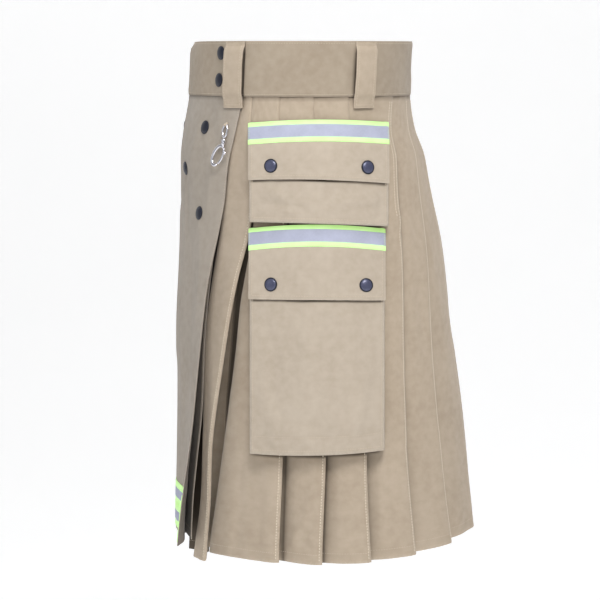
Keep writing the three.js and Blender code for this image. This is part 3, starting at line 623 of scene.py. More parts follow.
def drill_cotton(name, base, faded, shaded, rib=0.9, bump=0.35):
    """Cotton drill: dyed yarns, soft fading, lighter worn edges, painted shade, ribs and puckers.
    """
    material, tree, shader = new_material(name)
    weave = placed(tree, WEAVE, Rib_pitch_mm=rib)
    tone = placed(tree, TONE, Patch_size_mm=70.0)
    pucker_wear_shade = placed(tree, PUCKER_WEAR_SHADE, Pucker_size_mm=7.0)
    colour = mixed_colour(tree, tone.outputs["Patches"], (*shaded, 1), (*base, 1))
    # The last mix darkens the cloth towards DEEP_SHADE by the shade mask: painted shade in folds,
    # slits, under flaps and pockets and on insides.
    for source, share, tint in (
            (tone.outputs["Fine patches"], 0.35, faded), (weave.outputs["Yarn"], 0.3, shaded),
            (pucker_wear_shade.outputs["Wear"], 0.55, faded), (pucker_wear_shade.outputs["Shade"], 0.88, DEEP_SHADE)):
        colour = mixed_colour(tree, maths(tree, "MULTIPLY", source, share), colour, (*tint, 1))
    tree.links.new(colour, shader.inputs["Base Color"])
    rough = maths(tree, "MULTIPLY_ADD", weave.outputs["Yarn"], 0.12, 0.82)
    tree.links.new(rough, shader.inputs["Roughness"])
    set_sockets(shader, Sheen_Weight=0.12, Sheen_Roughness=0.5, Specular_IOR_Level=0.2)
    lumps = bumped(tree, pucker_wear_shade.outputs["Pucker"], 0.5, 0.0016)
    ribs = bumped(tree, weave.outputs["Height"], bump, 0.0003, Normal=lumps)
    tree.links.new(ribs, shader.inputs["Normal"])
    return material


def lime_tape_cloth():
    """Woven tape of a bright lime, with a faint painted glow standing in for its fluorescence."""
    material, tree, shader = new_material("lime_tape_cloth")
    weave = placed(tree, WEAVE, Rib_pitch_mm=0.7)
    patches = placed(tree, TONE, Patch_size_mm=25.0).outputs["Patches"]
    colour = mixed_colour(tree, patches, (0.50, 0.86, 0.32, 1), (0.56, 0.90, 0.40, 1))
    yarn = maths(tree, "MULTIPLY", weave.outputs["Yarn"], 0.3)
    colour = mixed_colour(tree, yarn, colour, (0.70, 0.95, 0.55, 1))
    tree.links.new(colour, shader.inputs["Base Color"])
    # Painted glow: the emission stands in for the tape's fluorescence.
    painted_glow = mixed_colour(tree, patches, (0.48, 0.80, 0.18, 1), (0.54, 0.84, 0.24, 1))
    tree.links.new(painted_glow, shader.inputs["Emission Color"])
    set_sockets(shader, Emission_Strength=0.32, Roughness=0.62)
    tree.links.new(bumped(tree, weave.outputs["Height"], 0.3, 0.0003), shader.inputs["Normal"])
    return material


def silver_tape_beads():
    """Silver stripe of fine glass beads, scuffed in places."""
    material, tree, shader = new_material("silver_tape_beads")
    weave = placed(tree, WEAVE, Rib_pitch_mm=0.5)
    tone = placed(tree, TONE, Patch_size_mm=18.0)
    colour = mixed_colour(tree, tone.outputs["Patches"], (0.38, 0.40, 0.52, 1),
                          (0.43, 0.455, 0.585, 1))
    scuffs = maths(tree, "MULTIPLY", tone.outputs["Fine patches"], 0.25)
    colour = mixed_colour(tree, scuffs, colour, (0.54, 0.565, 0.69, 1))
    tree.links.new(colour, shader.inputs["Base Color"])
    gloss = maths(tree, "MULTIPLY_ADD", tone.outputs["Fine patches"], 0.14, 0.62)
    tree.links.new(gloss, shader.inputs["Roughness"])
    set_sockets(shader, Metallic=0.08)
    tree.links.new(bumped(tree, weave.outputs["Height"], 0.25, 0.0002), shader.inputs["Normal"])
    return material


def hard_finish(name, light, dark, roughness, metallic, coat=0.0, scuff_scale=700.0):
    """A hard finish with faint scuffs that vary its colour and gloss."""
    material, tree, shader = new_material(name)
    place = node(tree, "ShaderNodeTexCoord").outputs["Object"]
    scuff = noise(tree, place, scuff_scale, 5.0, 0.65)
    tree.links.new(mixed_colour(tree, scuff, (*dark, 1), (*light, 1)), shader.inputs["Base Color"])
    gloss = maths(tree, "MULTIPLY_ADD", scuff, 0.16, roughness - 0.08)
    tree.links.new(gloss, shader.inputs["Roughness"])
    set_sockets(shader, Metallic=metallic, Coat_Weight=coat, Coat_Roughness=0.12)
    tree.links.new(bumped(tree, scuff, 0.08, 0.0002), shader.inputs["Normal"])
    return material


# Each cotton's dyed, faded and shaded colours, and for heavier or finer cloth its ribs.
KHAKI = drill_cotton(
    "khaki_drill", (0.475, 0.392, 0.302), (0.60, 0.51, 0.405), (0.415, 0.335, 0.252))
# The apron's copy is a greyer, darker khaki: painted shade for the apron turned away from the
# light.
APRON_DRILL_PAINTED_SHADE = drill_cotton(
    "apron_drill_painted_shade", (0.395, 0.345, 0.290), (0.51, 0.455, 0.395), (0.345, 0.298, 0.245))
BAND_DRILL = drill_cotton(
    "waistband_drill", (0.385, 0.320, 0.245), (0.50, 0.425, 0.34), (0.335, 0.272, 0.204), 0.95, 0.4)
# Pockets and flaps: doubled cloth with heavier ribs, in a lighter khaki that paints in the light
# falling on them.
KHAKI_DOUBLED_PAINTED_LIGHT = drill_cotton(
    "khaki_drill_doubled_painted_light", (0.508, 0.434, 0.350), (0.62, 0.548, 0.458), (0.44, 0.37, 0.292),
    0.95, 0.4)
THREAD = drill_cotton(
    "khaki_thread", (0.60, 0.52, 0.41), (0.68, 0.60, 0.49), (0.52, 0.44, 0.34), 0.5, 0.2)
CREAM_THREAD = drill_cotton(
    "cream_thread", (0.82, 0.74, 0.60), (0.86, 0.80, 0.68), (0.72, 0.64, 0.51), 0.5, 0.2)
LIME = lime_tape_cloth()
SILVER = silver_tape_beads()
TAPE_THREAD = hard_finish("lime_thread", (0.80, 0.97, 0.42), (0.6, 0.86, 0.25), 0.7, 0.0)
ENAMEL = hard_finish(
    "dark_snap_enamel", (0.012, 0.015, 0.034), (0.004, 0.005, 0.012), 0.5, 0.2, coat=0.16)
# The flaps' snap domes: a glossier enamel whose lighter blue-grey is a painted reflection of the
# light.
DOME_ENAMEL_PAINTED_REFLECTION = hard_finish(
    "snap_dome_enamel_painted_reflection", (0.105, 0.112, 0.19), (0.045, 0.05, 0.095), 0.38, 0.4, coat=0.3)
CHROME = hard_finish(
    "polished_chrome", (0.95, 0.94, 0.98), (0.62, 0.61, 0.67), 0.15, 1.0, scuff_scale=900.0)


# Waistband
BAND_ROWS = [SEAM / 2, 1.2, 2.6, 5, 9, 15, 22, 30, 38, 46, 53, 58, 61, 63, BAND_HEIGHT - SEAM / 2]
BAND_GAP = 0.13
BAND_STITCH_INSET = 2.6
TAB_STEP = (44.9, 46.2)


def band_surface(angles, out_at, seed):
    """One stretch of the band, swollen beside its seams and slack along its top in front."""
    depths = np.array(BAND_ROWS)
    across = angles / degrees_per_mm(0, 32)
    edge = np.minimum(depths, BAND_HEIGHT - depths)
    swell = 0.35 * hump(edge, 7, 4) - 0.5 * np.exp(-edge / 1.5)
    out = out_at(angles)
    grid = np.stack([on_body(angles, depth, out + swell[i]) for i, depth in enumerate(depths)])
    surface = Surface(grid, angles, depths)
    waves = 0.45 * rumpled(across[None], depths[:, None], seed, 55, upright=1.6)
    surface.push(waves * np.sin(np.pi * depths / BAND_HEIGHT)[:, None])
    slack = -6.0 * hump(angles, -112, 22)[None]
    surface.push(slack * (1 - smoothstep(depths, 0, 15))[:, None] ** 1.5)
    return surface


def shade_behind_loops(surface):
    shade = 0.35 * near_sides(surface, 1.0, "bottom")
    for centre in LOOPS.values():
        away = np.abs((surface.across - centre + 180) % 360 - 180) / degrees_per_mm(centre, TOP)
        beneath = 1 - smoothstep(away, LOOP_WIDTH / 2 - 1, LOOP_WIDTH / 2 + 1.8)
        beneath = beneath[None] * smoothstep(surface.depths, 6, 14)[:, None]
        shade = np.maximum(shade, 0.9 * beneath)
    return shade


def make_waistband(thread):
    """The front stretch, and the back stretch with the tab that ends under it."""
    front_angles = np.linspace(-180 - BAND_END, BAND_END - BAND_GAP, 90)
    back_angles = np.concatenate([
        np.linspace(TAB_END, -46.6, 22), np.linspace(-46.3, -44.7, 10), np.linspace(-44.2, -38, 6),
        np.linspace(-37, 180 - BAND_END - BAND_GAP, 260)])
    front = band_surface(front_angles, lambda angle: np.full_like(angle, BAND_OUT), 3)
    back = band_surface(
        back_angles,
        lambda angle: BAND_OUT + (TAB_OUT - BAND_OUT) * smoothstep(-angle, *TAB_STEP), 5)
    for name, surface in (("waistband_front", front), ("waistband_back", back)):
        worn = near_sides(surface, 1.8, "top bottom") ** 1.5
        piece = cloth_piece(name + "_cloth", surface, BAND_SHELL, [BAND_DRILL],
                            near_sides(surface, 7.0), worn, shade=shade_behind_loops(surface))
        dressed(piece, name)
        thread.sew_beside(surface, "top bottom", BAND_STITCH_INSET, BAND_SHELL, "band")
    thread.sew_beside(front, "right left", BAND_STITCH_INSET, BAND_SHELL)
    return front


# Aprons
HEM_INSET = 11.5


def apron_surface(rows, out, bottom, creases, seed, columns=84):
    """An apron between its table's edges, kicked forward at its left side and gently creased."""
    shares = np.concatenate([
        [0, 0.006, 0.015], np.linspace(0.03, 0.97, columns), [0.985, 0.994, 1]])
    levels = levels_through((0, 0.05, 6), (0.05, 0.93, 62), (0.93, 1, 12))
    depths = SKIRT_TOP + (bottom - SKIRT_TOP) * levels
    grid, across = [], []
    for depth in depths:
        a, _, _ = section(depth)
        left, right, kick = (value_at(rows, column, depth) for column in ("left", "right", "kick"))
        x = -right + (left + right) * shares
        points = on_body(-np.degrees(np.arccos(x / a)), depth, out)
        reach = np.maximum(x, 0) / left
        points[:, 1] -= kick * reach * reach
        grid.append(points)
        across.append(x)
    surface = Surface(np.stack(grid), shares, depths)
    x, d = np.stack(across), depths[:, None]
    calm = smoothstep(d, 66, 110) * smoothstep(np.minimum(shares, 1 - shares)[None], -0.02, 0.06)
    hang = 0.5 + 0.9 * smoothstep(d, 200, 560)
    surface.push(calm * (1.7 * creased(creases, x, d) + 0.9 * hang * rumpled(x, d, seed, 80, 4.0)))
    return surface


def make_aprons(thread):
    front = apron_surface(APRON, 0.0, LENGTH - APRON_SHORT, APRON_CREASES, 11)
    under = apron_surface(UNDER_APRON, UNDER_APRON_OUT, LENGTH - UNDER_APRON_SHORT, [], 12, 60)
    for name, surface in (("front_apron", front), ("under_apron", under)):
        worn = near_sides(surface, 2.0, "left right bottom")
        seam = np.maximum(near_sides(surface, 9.0), near_sides(surface, 15.0, "bottom"))
        shade = 0.5 * np.exp(-surface.fall / 1.4)
        if name == "under_apron":
            from_side = np.minimum(surface.run, surface.run[:, -1:] - surface.run)
            shade = np.maximum(shade, 0.75 * smoothstep(from_side, 1.2, 2.6))
        piece = cloth_piece(name + "_cloth", surface, SHELL, [APRON_DRILL_PAINTED_SHADE], seam, worn, shade=shade,
                            inside_shade=0.6)
        dressed(piece, name)
        thread.sew_beside(surface, "left right", 2.4, SHELL, "apron", clip=(6, 2))
        thread.sew_beside(surface, "bottom", HEM_INSET, SHELL, "apron", clip=(3, 3))
    return front


# Pleated skirt
FOLD_STEPS = [2, 2, 4, 2, 2]
FOLD_NOSE = 1.4
FRONT_FOLD_LIT = (1, 1, 1, 0.3)
ROUNDNESS = 0.62


def fold_turn(edge, per_mm, layer, drop, tuck):
    """Control points round one pleat's edge and in to where its cloth is tucked."""
    nose = edge - FOLD_NOSE * per_mm
    return [(nose, 0.0, 0.5, 0.0), (edge, -layer / 2, 0.0, 0.0), (nose, -layer, 0.0, 0.55),
            (edge - tuck * per_mm, -layer - 0.15 * drop, 0.0, 0.9),
            (edge - (tuck + FOLD_NOSE) * per_mm, -layer - 0.58 * drop, 0.0, 1.0),
            (edge - tuck * per_mm, -layer - drop, 0.0, 1.0)]


def side_profile(depth, front):
    """Control points of the skirt's section at a depth, the steps between and the pleats' places.

    Each point is its angle, how far out it is, how loose its cloth is and how shaded.
    """
    tuck, layer, drop = (value_at(PLEAT, column, depth) for column in ("tuck", "layer", "drop"))
    start, start_out, ridge, ridge_out, edge, gap, front_drop = (
        value_at(front, column, depth) for column in FRONT_COLUMNS.split()[1:])
    per_mm = degrees_per_mm(edge, depth)
    first_tuck = min(tuck, 0.5 * (edge - ridge) / per_mm)
    facing = 1 - 0.6 * smoothstep(depth, 250, 500)
    profile = [(start - 8, start_out * facing, 0.0, 1.0), (start, start_out, 0.2, 1.0),
               (ridge - 1, ridge_out - 3, 0.2, 0.8), (ridge, ridge_out, 0.3, 0.0),
               (ridge + 0.45 * (edge - ridge), ridge_out * 0.52, 1.0, 0.0),
               (ridge + 0.8 * (edge - ridge), 0.0, 1.0, 0.0)]
    steps = [4, 4, 3, 6, 5, 4]
    edges = [len(profile)]
    profile += [tuple(np.multiply(point, FRONT_FOLD_LIT))
                for point in fold_turn(edge, per_mm, layer, front_drop, first_tuck)]
    below = layer + front_drop
    profile.append((edge - 0.62 * first_tuck * per_mm, -layer - front_drop, 0.0, 1.0))
    steps += FOLD_STEPS + [3, 2]
    shoulder = edge + gap
    second = value_at(EDGES, "second", depth)
    profile += [(shoulder - 0.3 * gap, -below, 0.0, 1.0), (shoulder + 0.3, -0.45 * below, 0.2, 1.0),
                (shoulder + 1.2, -0.1 * below, 0.5, 0.4),
                (shoulder + 0.4 * (second - shoulder), -0.02 * below, 1.0, 0.0),
                (shoulder + 0.75 * (second - shoulder), 0.0, 1.0, 0.0)]
    steps += [3, 3, 5, 6, 5]
    edges.append(len(profile))
    profile += fold_turn(second, degrees_per_mm(second, depth), layer, drop, tuck)
    steps += FOLD_STEPS
    last = second
    for name in LATER_PLEATS + [None]:
        following = BACK_PLEAT_EDGE if name is None else value_at(EDGES, name, depth)
        per_mm = degrees_per_mm(last, depth)
        for f, loose in ((0.0, 0.0), (0.3, 0.8), (0.65, 1.0)):
            rise = (layer + drop) * (1 - (f if name == "eighth" else math.sin(f * math.pi / 2)))
            angle = last + 1.2 * per_mm + (following - last) * f * 0.97
            profile.append((angle, -rise, loose, 0.0))
        steps += [4, 5, 5, 5]
        edges.append(len(profile))
        profile += fold_turn(following, degrees_per_mm(following, depth), layer, drop, tuck)
        steps += FOLD_STEPS
        last = following
    profile.append((BACK_SEAM, -layer - drop, 0.0, 0.6))
    steps += [3]
    return np.array(profile), steps, edges


def refined(points, steps, scale):
    """A smooth curve through a row's control points, with a number of steps for each stretch."""
    p = points * np.array([scale, 1.0, 1.0, 1.0])
    leg = np.diff(p[:, :2], axis=0)
    d = np.maximum(np.linalg.norm(leg, axis=1), 1e-6)
    slope = leg / d[:, None]
    m = np.empty((len(p), 2))
    m[0], m[-1] = slope[0], slope[-1]
    before, after = d[:-1, None], d[1:, None]
    m[1:-1] = (slope[1:] * before + slope[:-1] * after) / (after + before)
    m *= ROUNDNESS
    rows = []
    for i, count in enumerate(steps):
        f = (np.arange(count) / count)[:, None]
        curve = ((2 * f ** 3 - 3 * f ** 2 + 1) * p[i, :2] + (f ** 3 - 2 * f ** 2 + f) * d[i] * m[i]
                 + (3 * f ** 2 - 2 * f ** 3) * p[i + 1, :2] + (f ** 3 - f ** 2) * d[i] * m[i + 1])
        rows.append(np.concatenate([curve, p[i, 2:] * (1 - f) + p[i + 1, 2:] * f], 1))
    rows.append(p[-1:])
    return np.concatenate(rows) / np.array([scale, 1.0, 1.0, 1.0])


def pocket_cover(grid, depth):
    """Mask of the skirt that lies behind the pockets and flaps."""
    u, out = grid @ ACROSS, grid @ FACING
    cover = np.zeros(u.shape)
    for pocket in POCKETS.values():
        left, right, top, bottom = (pocket[k] for k in ("left", "right", "flap_top", "bottom"))
        wide = smoothstep(u, left - 14, left) * (1 - smoothstep(u, right, right + 14))
        tall = smoothstep(depth, top - 10, top) * (1 - smoothstep(depth, bottom, bottom + 10))
        cover = np.maximum(cover, wide * tall)
    return cover * (out > 0)


def pocket_shadow(grid, depth):
    """Dark line on the skirt close under each pocket's floor."""
    u, out = grid @ ACROSS, grid @ FACING
    shadow = np.zeros(u.shape)
    for pocket in POCKETS.values():
        span = (u - pocket["left"]) / (pocket["right"] - pocket["left"])
        below = depth - pocket["bottom"] - dip(pocket["bag_dip"], np.clip(span, 0, 1))
        wide = 0.95 * smoothstep(span, 0.0, 0.03) * (1 - smoothstep(span, 0.94, 1.0))
        tall = smoothstep(below, -14, -4) * (1 - smoothstep(below, 3.4, 7.5))
        shadow = np.maximum(shadow, wide * tall)
    return shadow * (out > 0)


def skirt_surface(front, creases, seed, sag):
    """One side of the skirt from the apron to the back seam, folds and all, as one bent sheet."""
    levels = levels_through((0, 0.1, 10), (0.1, 0.748, 45), (0.748, 0.785, 15), (0.785, 0.93, 12),
                            (0.93, 1, 11))
    grid, loose, shade, across, depths = [], [], [], [], []
    for level in levels:
        nominal = SKIRT_TOP + (LENGTH - SKIRT_TOP) * level
        points, steps, edges = side_profile(nominal, front)
        a, b, _ = section(nominal)
        mm_per_degree = math.radians((a + b) / 2)
        fine = refined(points, steps, mm_per_degree)
        nose = sum(steps[:edges[0]])
        loose_fold = 1 - smoothstep(np.arange(len(fine)), nose + 1, nose + 8)
        hem = hem_depth(fine[:, 0]) + sag * loose_fold * smoothstep(level, 0.5, 1)
        depth = SKIRT_TOP + (hem - SKIRT_TOP) * level
        grid.append(np.array([on_body(t, d, o) for (t, o, *_), d in zip(fine, depth)]))
        loose.append(fine[:, 2])
        shade.append(fine[:, 3])
        across.append(fine[:, 0] * mm_per_degree)
        depths.append(depth)
    starts = np.concatenate([[0], np.cumsum(steps)])
    row_depths = SKIRT_TOP + (LENGTH - SKIRT_TOP) * levels
    surface = Surface(np.stack(grid), np.arange(len(grid[0])), row_depths)
    x, d, w = np.stack(across), np.stack(depths), np.stack(loose)
    grow = 0.35 + 0.9 * smoothstep(d, 180, 560)
    w = w * (1 - 0.85 * pocket_cover(surface.grid, d)) * smoothstep(d, 68, 120)
    surface.push(w * (1.7 * creased(creases, x, d) + 0.8 * grow * rumpled(x, d, seed, 46, 5.0)))
    surface.noses = [int(starts[k]) for k in edges]
    shade = np.clip(np.stack(shade), 0, 1) * smoothstep(d, 110, 190)
    for k in edges[:-1]:
        begin = int(starts[k + len(FOLD_STEPS) + 1])
        gap = surface.run - surface.run[:, begin:begin + 1]
        behind_edge = 0.8 * smoothstep(d, 90, 200) * np.exp(-gap / 2.6)
        shade = np.maximum(shade, np.where(gap >= 0, behind_edge, 0.0))
    shade = np.maximum(shade, 0.55 * np.exp(-surface.fall / 1.4))
    surface.shade = np.maximum(shade, pocket_shadow(surface.grid, d))
    return surface


def moved(place, step):
    return place[0] + step[0], place[1] + step[1]


def make_skirt_side(side, front, seed, thread, edge_thread):
    creases, sag = SKIRT_CREASES, FREE_FOLD_SAG
    if side == "right":
        creases = [(moved(start, RIGHT_CREASE_START), moved(end, RIGHT_CREASE_END), width, rise)
                   for start, end, width, rise in SKIRT_CREASES]
        sag = 0.0
    surface = skirt_surface(front, creases, seed, sag)
    noses, shade = surface.noses, surface.shade
    if side == "right":
        surface = surface.mirrored()
    seam = np.maximum(near_sides(surface, 8.0, "top"), near_sides(surface, 15.0, "bottom"))
    worn = near_sides(surface, 1.6, "bottom")
    fade = smoothstep(surface.depths, 100, 150)[:, None]
    for nose in noses:
        away = np.abs(surface.run - surface.run[:, nose:nose + 1])
        worn = np.maximum(worn, fade * near(away, 2.2))
        seam = np.maximum(seam, 0.8 * near(away, 9.0))
    piece = cloth_piece(f"skirt_{side}_cloth", surface, SHELL, [KHAKI], seam, worn, shade=shade,
                        inside_shade=0.5)
    dressed(piece, f"skirt_{side}")
    rows, columns = np.arange(len(surface.depths)), np.arange(surface.grid.shape[1])
    for index, nose in enumerate(noses):
        lines = [(1.7, 66 if index > LAST_COVERED_PLEAT else 130, LENGTH)]
        if index == LAST_COVERED_PLEAT + 1:
            lines.append((6.4, 66, 215))
        for inset, start, end in lines:
            sewn = rows[(surface.depths > start) & (surface.depths < end)]
            line = [np.interp(surface.run[r, nose] - inset, surface.run[r], columns) for r in sewn]
            edge_thread.sew(surface.pick(sewn, line), SHELL, "pleat")
    hem = [np.interp(surface.fall[-1, c] - HEM_INSET, surface.fall[:, c], rows) for c in columns]
    thread.sew(surface.pick(hem, columns), SHELL, "hem")


# Pockets
FACING = np.array([math.cos(POCKET_FACING), math.sin(POCKET_FACING), 0.0])
ACROSS = np.array([-FACING[1], FACING[0], 0.0])
FLAP_SEAT = 1.9
FLAP_OVER_BAG = 2.4
TAPE_OVER_CLOTH = 0.34
APRON_TAPE_OVER_CLOTH = 0.4
TAPE_ROWS = np.array([0, 1.2, 3.4, 5.3, 5.6, 9, 12.5, 16, 19.4, 19.7, 21.6, 23.8, 25])
TAPE_STRIPES = [0, 0, 0, 1, 1, 1, 1, 1, 1, 0, 0, 0]
APRON_TAPE_ROWS = np.array([0, 1.2, 4, 8, 8.2, 12, 16, 19.8, 20, 24, 26.8, 28])
APRON_TAPE_STRIPES = [0, 0, 0, 1, 1, 1, 1, 1, 0, 0, 0]


def body_reach(across, depth, clear=0.0):
    """How far the body reaches towards the pockets' facing, at a place across it."""
    a, b, back = section(depth)
    amplitude = math.hypot(a * ACROSS[0], b * ACROSS[1])
    phase = math.atan2(a * ACROSS[0], b * ACROSS[1])
    angle = np.arcsin((across - back * ACROSS[1]) / amplitude) - phase
    c, s = np.cos(angle), np.sin(angle)
    lean = (FACING[0] * c / a + FACING[1] * s / b) / np.hypot(c / a, s / b)
    return a * FACING[0] * c + b * FACING[1] * s + back * FACING[1] + clear / lean


def pocket_reach(pocket, across, depth):
    """The body's reach, flattened halfway to the pocket's own gentle bow."""
    middle = (pocket["left"] + pocket["right"]) / 2
    flat = body_reach(np.float64(middle), depth) - (across - middle) ** 2 / (2 * POCKET_BOW)
    body = body_reach(across, depth)
    return np.maximum((body + flat) / 2, body)


def pocket_point(across, reach, depth):
    return across[:, None] * ACROSS + reach[:, None] * FACING + np.array([0, 0, TOP - depth])


def stand_at(pocket, depth):
    mouth, bottom = pocket["mouth"], pocket["bottom"]
    depths, stands = np.array([mouth, (mouth + bottom) / 2, bottom]), np.array(pocket["stand"])
    return value_at({"depth": depths, "stand": stands}, "stand", depth)


def dip(heights, share):
    """Smooth uneven drop of an edge through its front, middle and back heights."""
    return np.polyval(np.polyfit([0, 0.5, 1], heights, 2), share)


def pocket_surface(name, pocket, seed):
    """The bag's turned sides, front and floor as one bent sheet."""
    left, right, mouth, bottom = (pocket[k] for k in ("left", "right", "mouth", "bottom"))
    edge = pocket["flap_bottom"]
    inner = np.concatenate([[left + 2.4], np.linspace(left + 5, right - 5, 46), [right - 2.4]])
    depths = np.concatenate([
        np.linspace(mouth, edge - 9, 9), np.linspace(edge - 7.5, edge + 7.5, 13),
        np.linspace(edge + 9, bottom - 24, 20), np.linspace(bottom - 22, bottom - 2.6, 9)])
    acrosses = np.concatenate([[left + 0.1, left, left, left + 0.35, left + 1.1], inner,
                               [right - 1.1, right - 0.35, right, right, right - 0.1]])
    span = np.clip((acrosses - left) / (right - left), 0, 1)
    drop = dip(pocket["bag_dip"], span)

    def ring(depth, sunk=0.0):
        """One row of the bag: up its front wall, across its face and down its back wall."""
        stand = stand_at(pocket, min(depth, bottom)) - sunk
        base = body_reach(acrosses, depth, POCKET_BACK)
        reach = np.empty(len(acrosses))
        reach[5:-5] = pocket_reach(pocket, inner, depth) + stand
        for wall, corner in (([0, 1, 2, 3, 4], left), ([-1, -2, -3, -4, -5], right)):
            foot, top = base[wall[0]], pocket_reach(pocket, np.float64(corner), depth) + stand
            reach[wall] = foot, foot + 0.5 * (top - foot), top - 2.6, top - 1.0, top - 0.25
        points = pocket_point(acrosses, reach, depth)
        points[:, 2] -= drop * smoothstep(depth, bottom - 60, bottom)
        return points

    rows = [ring(depth) for depth in depths]
    rows += [ring(bottom - 1.1, 0.3), ring(bottom - 0.3, 1.1), ring(bottom, 2.6)]
    places = [*depths, bottom - 1.1, bottom - 0.3, bottom]
    floor_edge = rows[-1]
    floor_back = pocket_point(acrosses, body_reach(acrosses, bottom, POCKET_BACK), bottom)
    floor_back[:, 2] -= drop
    for share in (0.5, 1.0):
        rows.append(floor_edge * (1 - share) + floor_back * share)
        places.append(bottom + 0.3 * share)
    surface = Surface(np.stack(rows), acrosses, places)
    x, d = acrosses[None], np.array(places)[:, None]
    from_side = np.minimum(x - left, right - x)
    inside = smoothstep(from_side, 3, 16) * (1 - smoothstep(d, bottom - 12, bottom - 3))
    bulge = 1.2 * np.sin(np.pi * span)[None] * smoothstep(d, mouth + 20, bottom - 8)
    rim = 0.5 * hump(from_side, 3, 2.2) + 0.5 * hump(bottom - d, 3, 2.2)
    groove = -0.5 * hump(d, bottom - 20, 1.6)
    lumps = 2.0 * creased(POCKET_CREASES[name], x, d) + 1.1 * rumpled(x, d, seed, 70, 1.5)
    face = np.zeros(surface.grid.shape[:2], bool)
    face[:-4, 4:-4] = True
    surface.push(np.where(face, inside * (lumps + bulge + groove) + rim, 0.0))
    return surface


def flap_surface(name, pocket, seed):
    """The flap and the tape's seat along its top, sloping out over the bag's mouth."""
    left, right = pocket["left"] - FLAP_OVERHANG, pocket["right"] + FLAP_OVERHANG
    top, bottom = pocket["flap_top"], pocket["flap_bottom"]
    across = np.concatenate([[left, left + 0.8, left + 1.8], np.linspace(left + 4, right - 4, 50),
                             [right - 1.8, right - 0.8, right]])
    span = (across - left) / (right - left)
    depths = np.concatenate([
        top + TAPE_ROWS, [top + 26.5, top + 29], np.linspace(top + 32, bottom - 5, 16),
        [bottom - 3, bottom - 1.6, bottom - 0.7, bottom]])
    rows = []
    for depth in depths:
        fall = smoothstep(depth, top, top + TAPE_HEIGHT + 4)
        seated = body_reach(across, depth, FLAP_SEAT)
        stand = stand_at(pocket, max(depth, pocket["mouth"])) + FLAP_OVER_BAG
        over = pocket_reach(pocket, across, depth) + stand
        points = pocket_point(across, seated * (1 - fall) + over * fall, depth)
        share = np.clip((depth - top - TAPE_HEIGHT) / (bottom - top - TAPE_HEIGHT), 0, 1)
        tape_dip, flap_dip = dip(pocket["tape_dip"], span), dip(pocket["flap_dip"], span)
        points[:, 2] -= tape_dip * (1 - share) + flap_dip * share
        rows.append(points)
    surface = Surface(np.stack(rows), across, depths)
    x, d = across[None], depths[:, None]
    loose = smoothstep(d, top + 24, bottom)
    edge = np.minimum(np.minimum(x - left, right - x), bottom - d)
    puffed = 0.45 * hump(edge, 3.4, 2.4) - 0.3 * np.exp(-edge / 1.0)
    dimples = sum(-0.9 * hump(np.hypot(x - place, d - pocket["snap_depth"]), 0, 10)
                  for place in pocket["snaps"])
    lift = 1.3 * np.clip(rumpled(x, 0 * d, seed + 40, 120), -0.5, 1.0) * loose ** 2
    lumps = 1.6 * creased(FLAP_CREASES[name], x, d) + 0.8 * rumpled(x, d, seed, 60, 1.4)
    surface.push(np.where(d > top, loose * lumps + puffed + dimples + lift, 0.15))
    return surface


def make_bag(name, side, pocket, seed, thread):
    bag = pocket_surface(name, pocket, seed)
    if side == "right":
        bag = bag.mirrored()
    from_corner = np.minimum(np.abs(bag.run - bag.run[:, 4:5]), np.abs(bag.run - bag.run[:, -5:-4]))
    from_floor = np.abs(bag.depths - pocket["bottom"] + 1)[:, None]
    seam = np.maximum(near_sides(bag, 8.0, "left right"), near(from_corner, 8))
    seam = np.maximum(seam, near(from_floor, 7))
    worn = np.maximum(near(from_corner, 2.2), near(from_floor, 2.4))
    span = np.clip((bag.across - pocket["left"]) / (pocket["right"] - pocket["left"]), 0, 1)
    below = bag.depths[:, None] - pocket["flap_bottom"] - dip(pocket["flap_dip"], span)[None]
    ends = smoothstep(span, 0.005, 0.03) * (1 - smoothstep(span, 0.975, 0.995))
    shade = (0.9 - 0.25 * np.sin(span * 9)) * ends
    shade = shade[None] * smoothstep(below, -7, -2) * (1 - smoothstep(below, 1.7, 4.0))
    node_name = f"{name}_pocket_{side}"
    piece = cloth_piece(node_name + "_cloth", bag, SHELL, [KHAKI_DOUBLED_PAINTED_LIGHT], seam, worn, shade=shade)
    dressed(piece, node_name)
    panel = Surface(bag.grid[:-5, 4:-4], bag.across[4:-4], bag.depths[:-5], bag.outward)
    thread.sew_beside(panel, "left right", 3.2, SHELL, clip=(20, 1))
    thread.sew_beside(panel, "bottom", 2.6, SHELL, clip=(3, 3))
    if name == "lower":
        thread.sew_beside(panel, "bottom", 18.5, SHELL, "groove", clip=(3, 3))


def make_flap(name, side, pocket, seed, snaps, thread, tape_thread):
    flap = flap_surface(name, pocket, seed)
    if side == "right":
        flap = flap.mirrored()
    node_name = f"{name}_flap_{side}"
    piece = cloth_piece(node_name + "_cloth", flap, FLAP_SHELL, [KHAKI_DOUBLED_PAINTED_LIGHT],
                        near_sides(flap, 8.0), near_sides(flap, 1.6, "left right bottom"))
    dressed(piece, node_name)
    thread.sew_beside(flap, "left right", 4.2, FLAP_SHELL, clip=(TAPE_HEIGHT + 1, 4))
    thread.sew_beside(flap, "bottom", 4.2, FLAP_SHELL, clip=(4, 4))
    seat = flap.raised(FLAP_SHELL / 2 + TAPE_OVER_CLOTH, slice(0, len(TAPE_ROWS)))
    make_tape(f"{name}_tape_{side}", seat, TAPE_STRIPES, tape_thread)
    for place in pocket["snaps"]:
        point, normal = flap.at(place, pocket["snap_depth"])
        end = "front" if place < 0 else "back"
        snaps[f"snap_{node_name}_{end}"] = (point + normal * FLAP_SHELL / 2, normal)


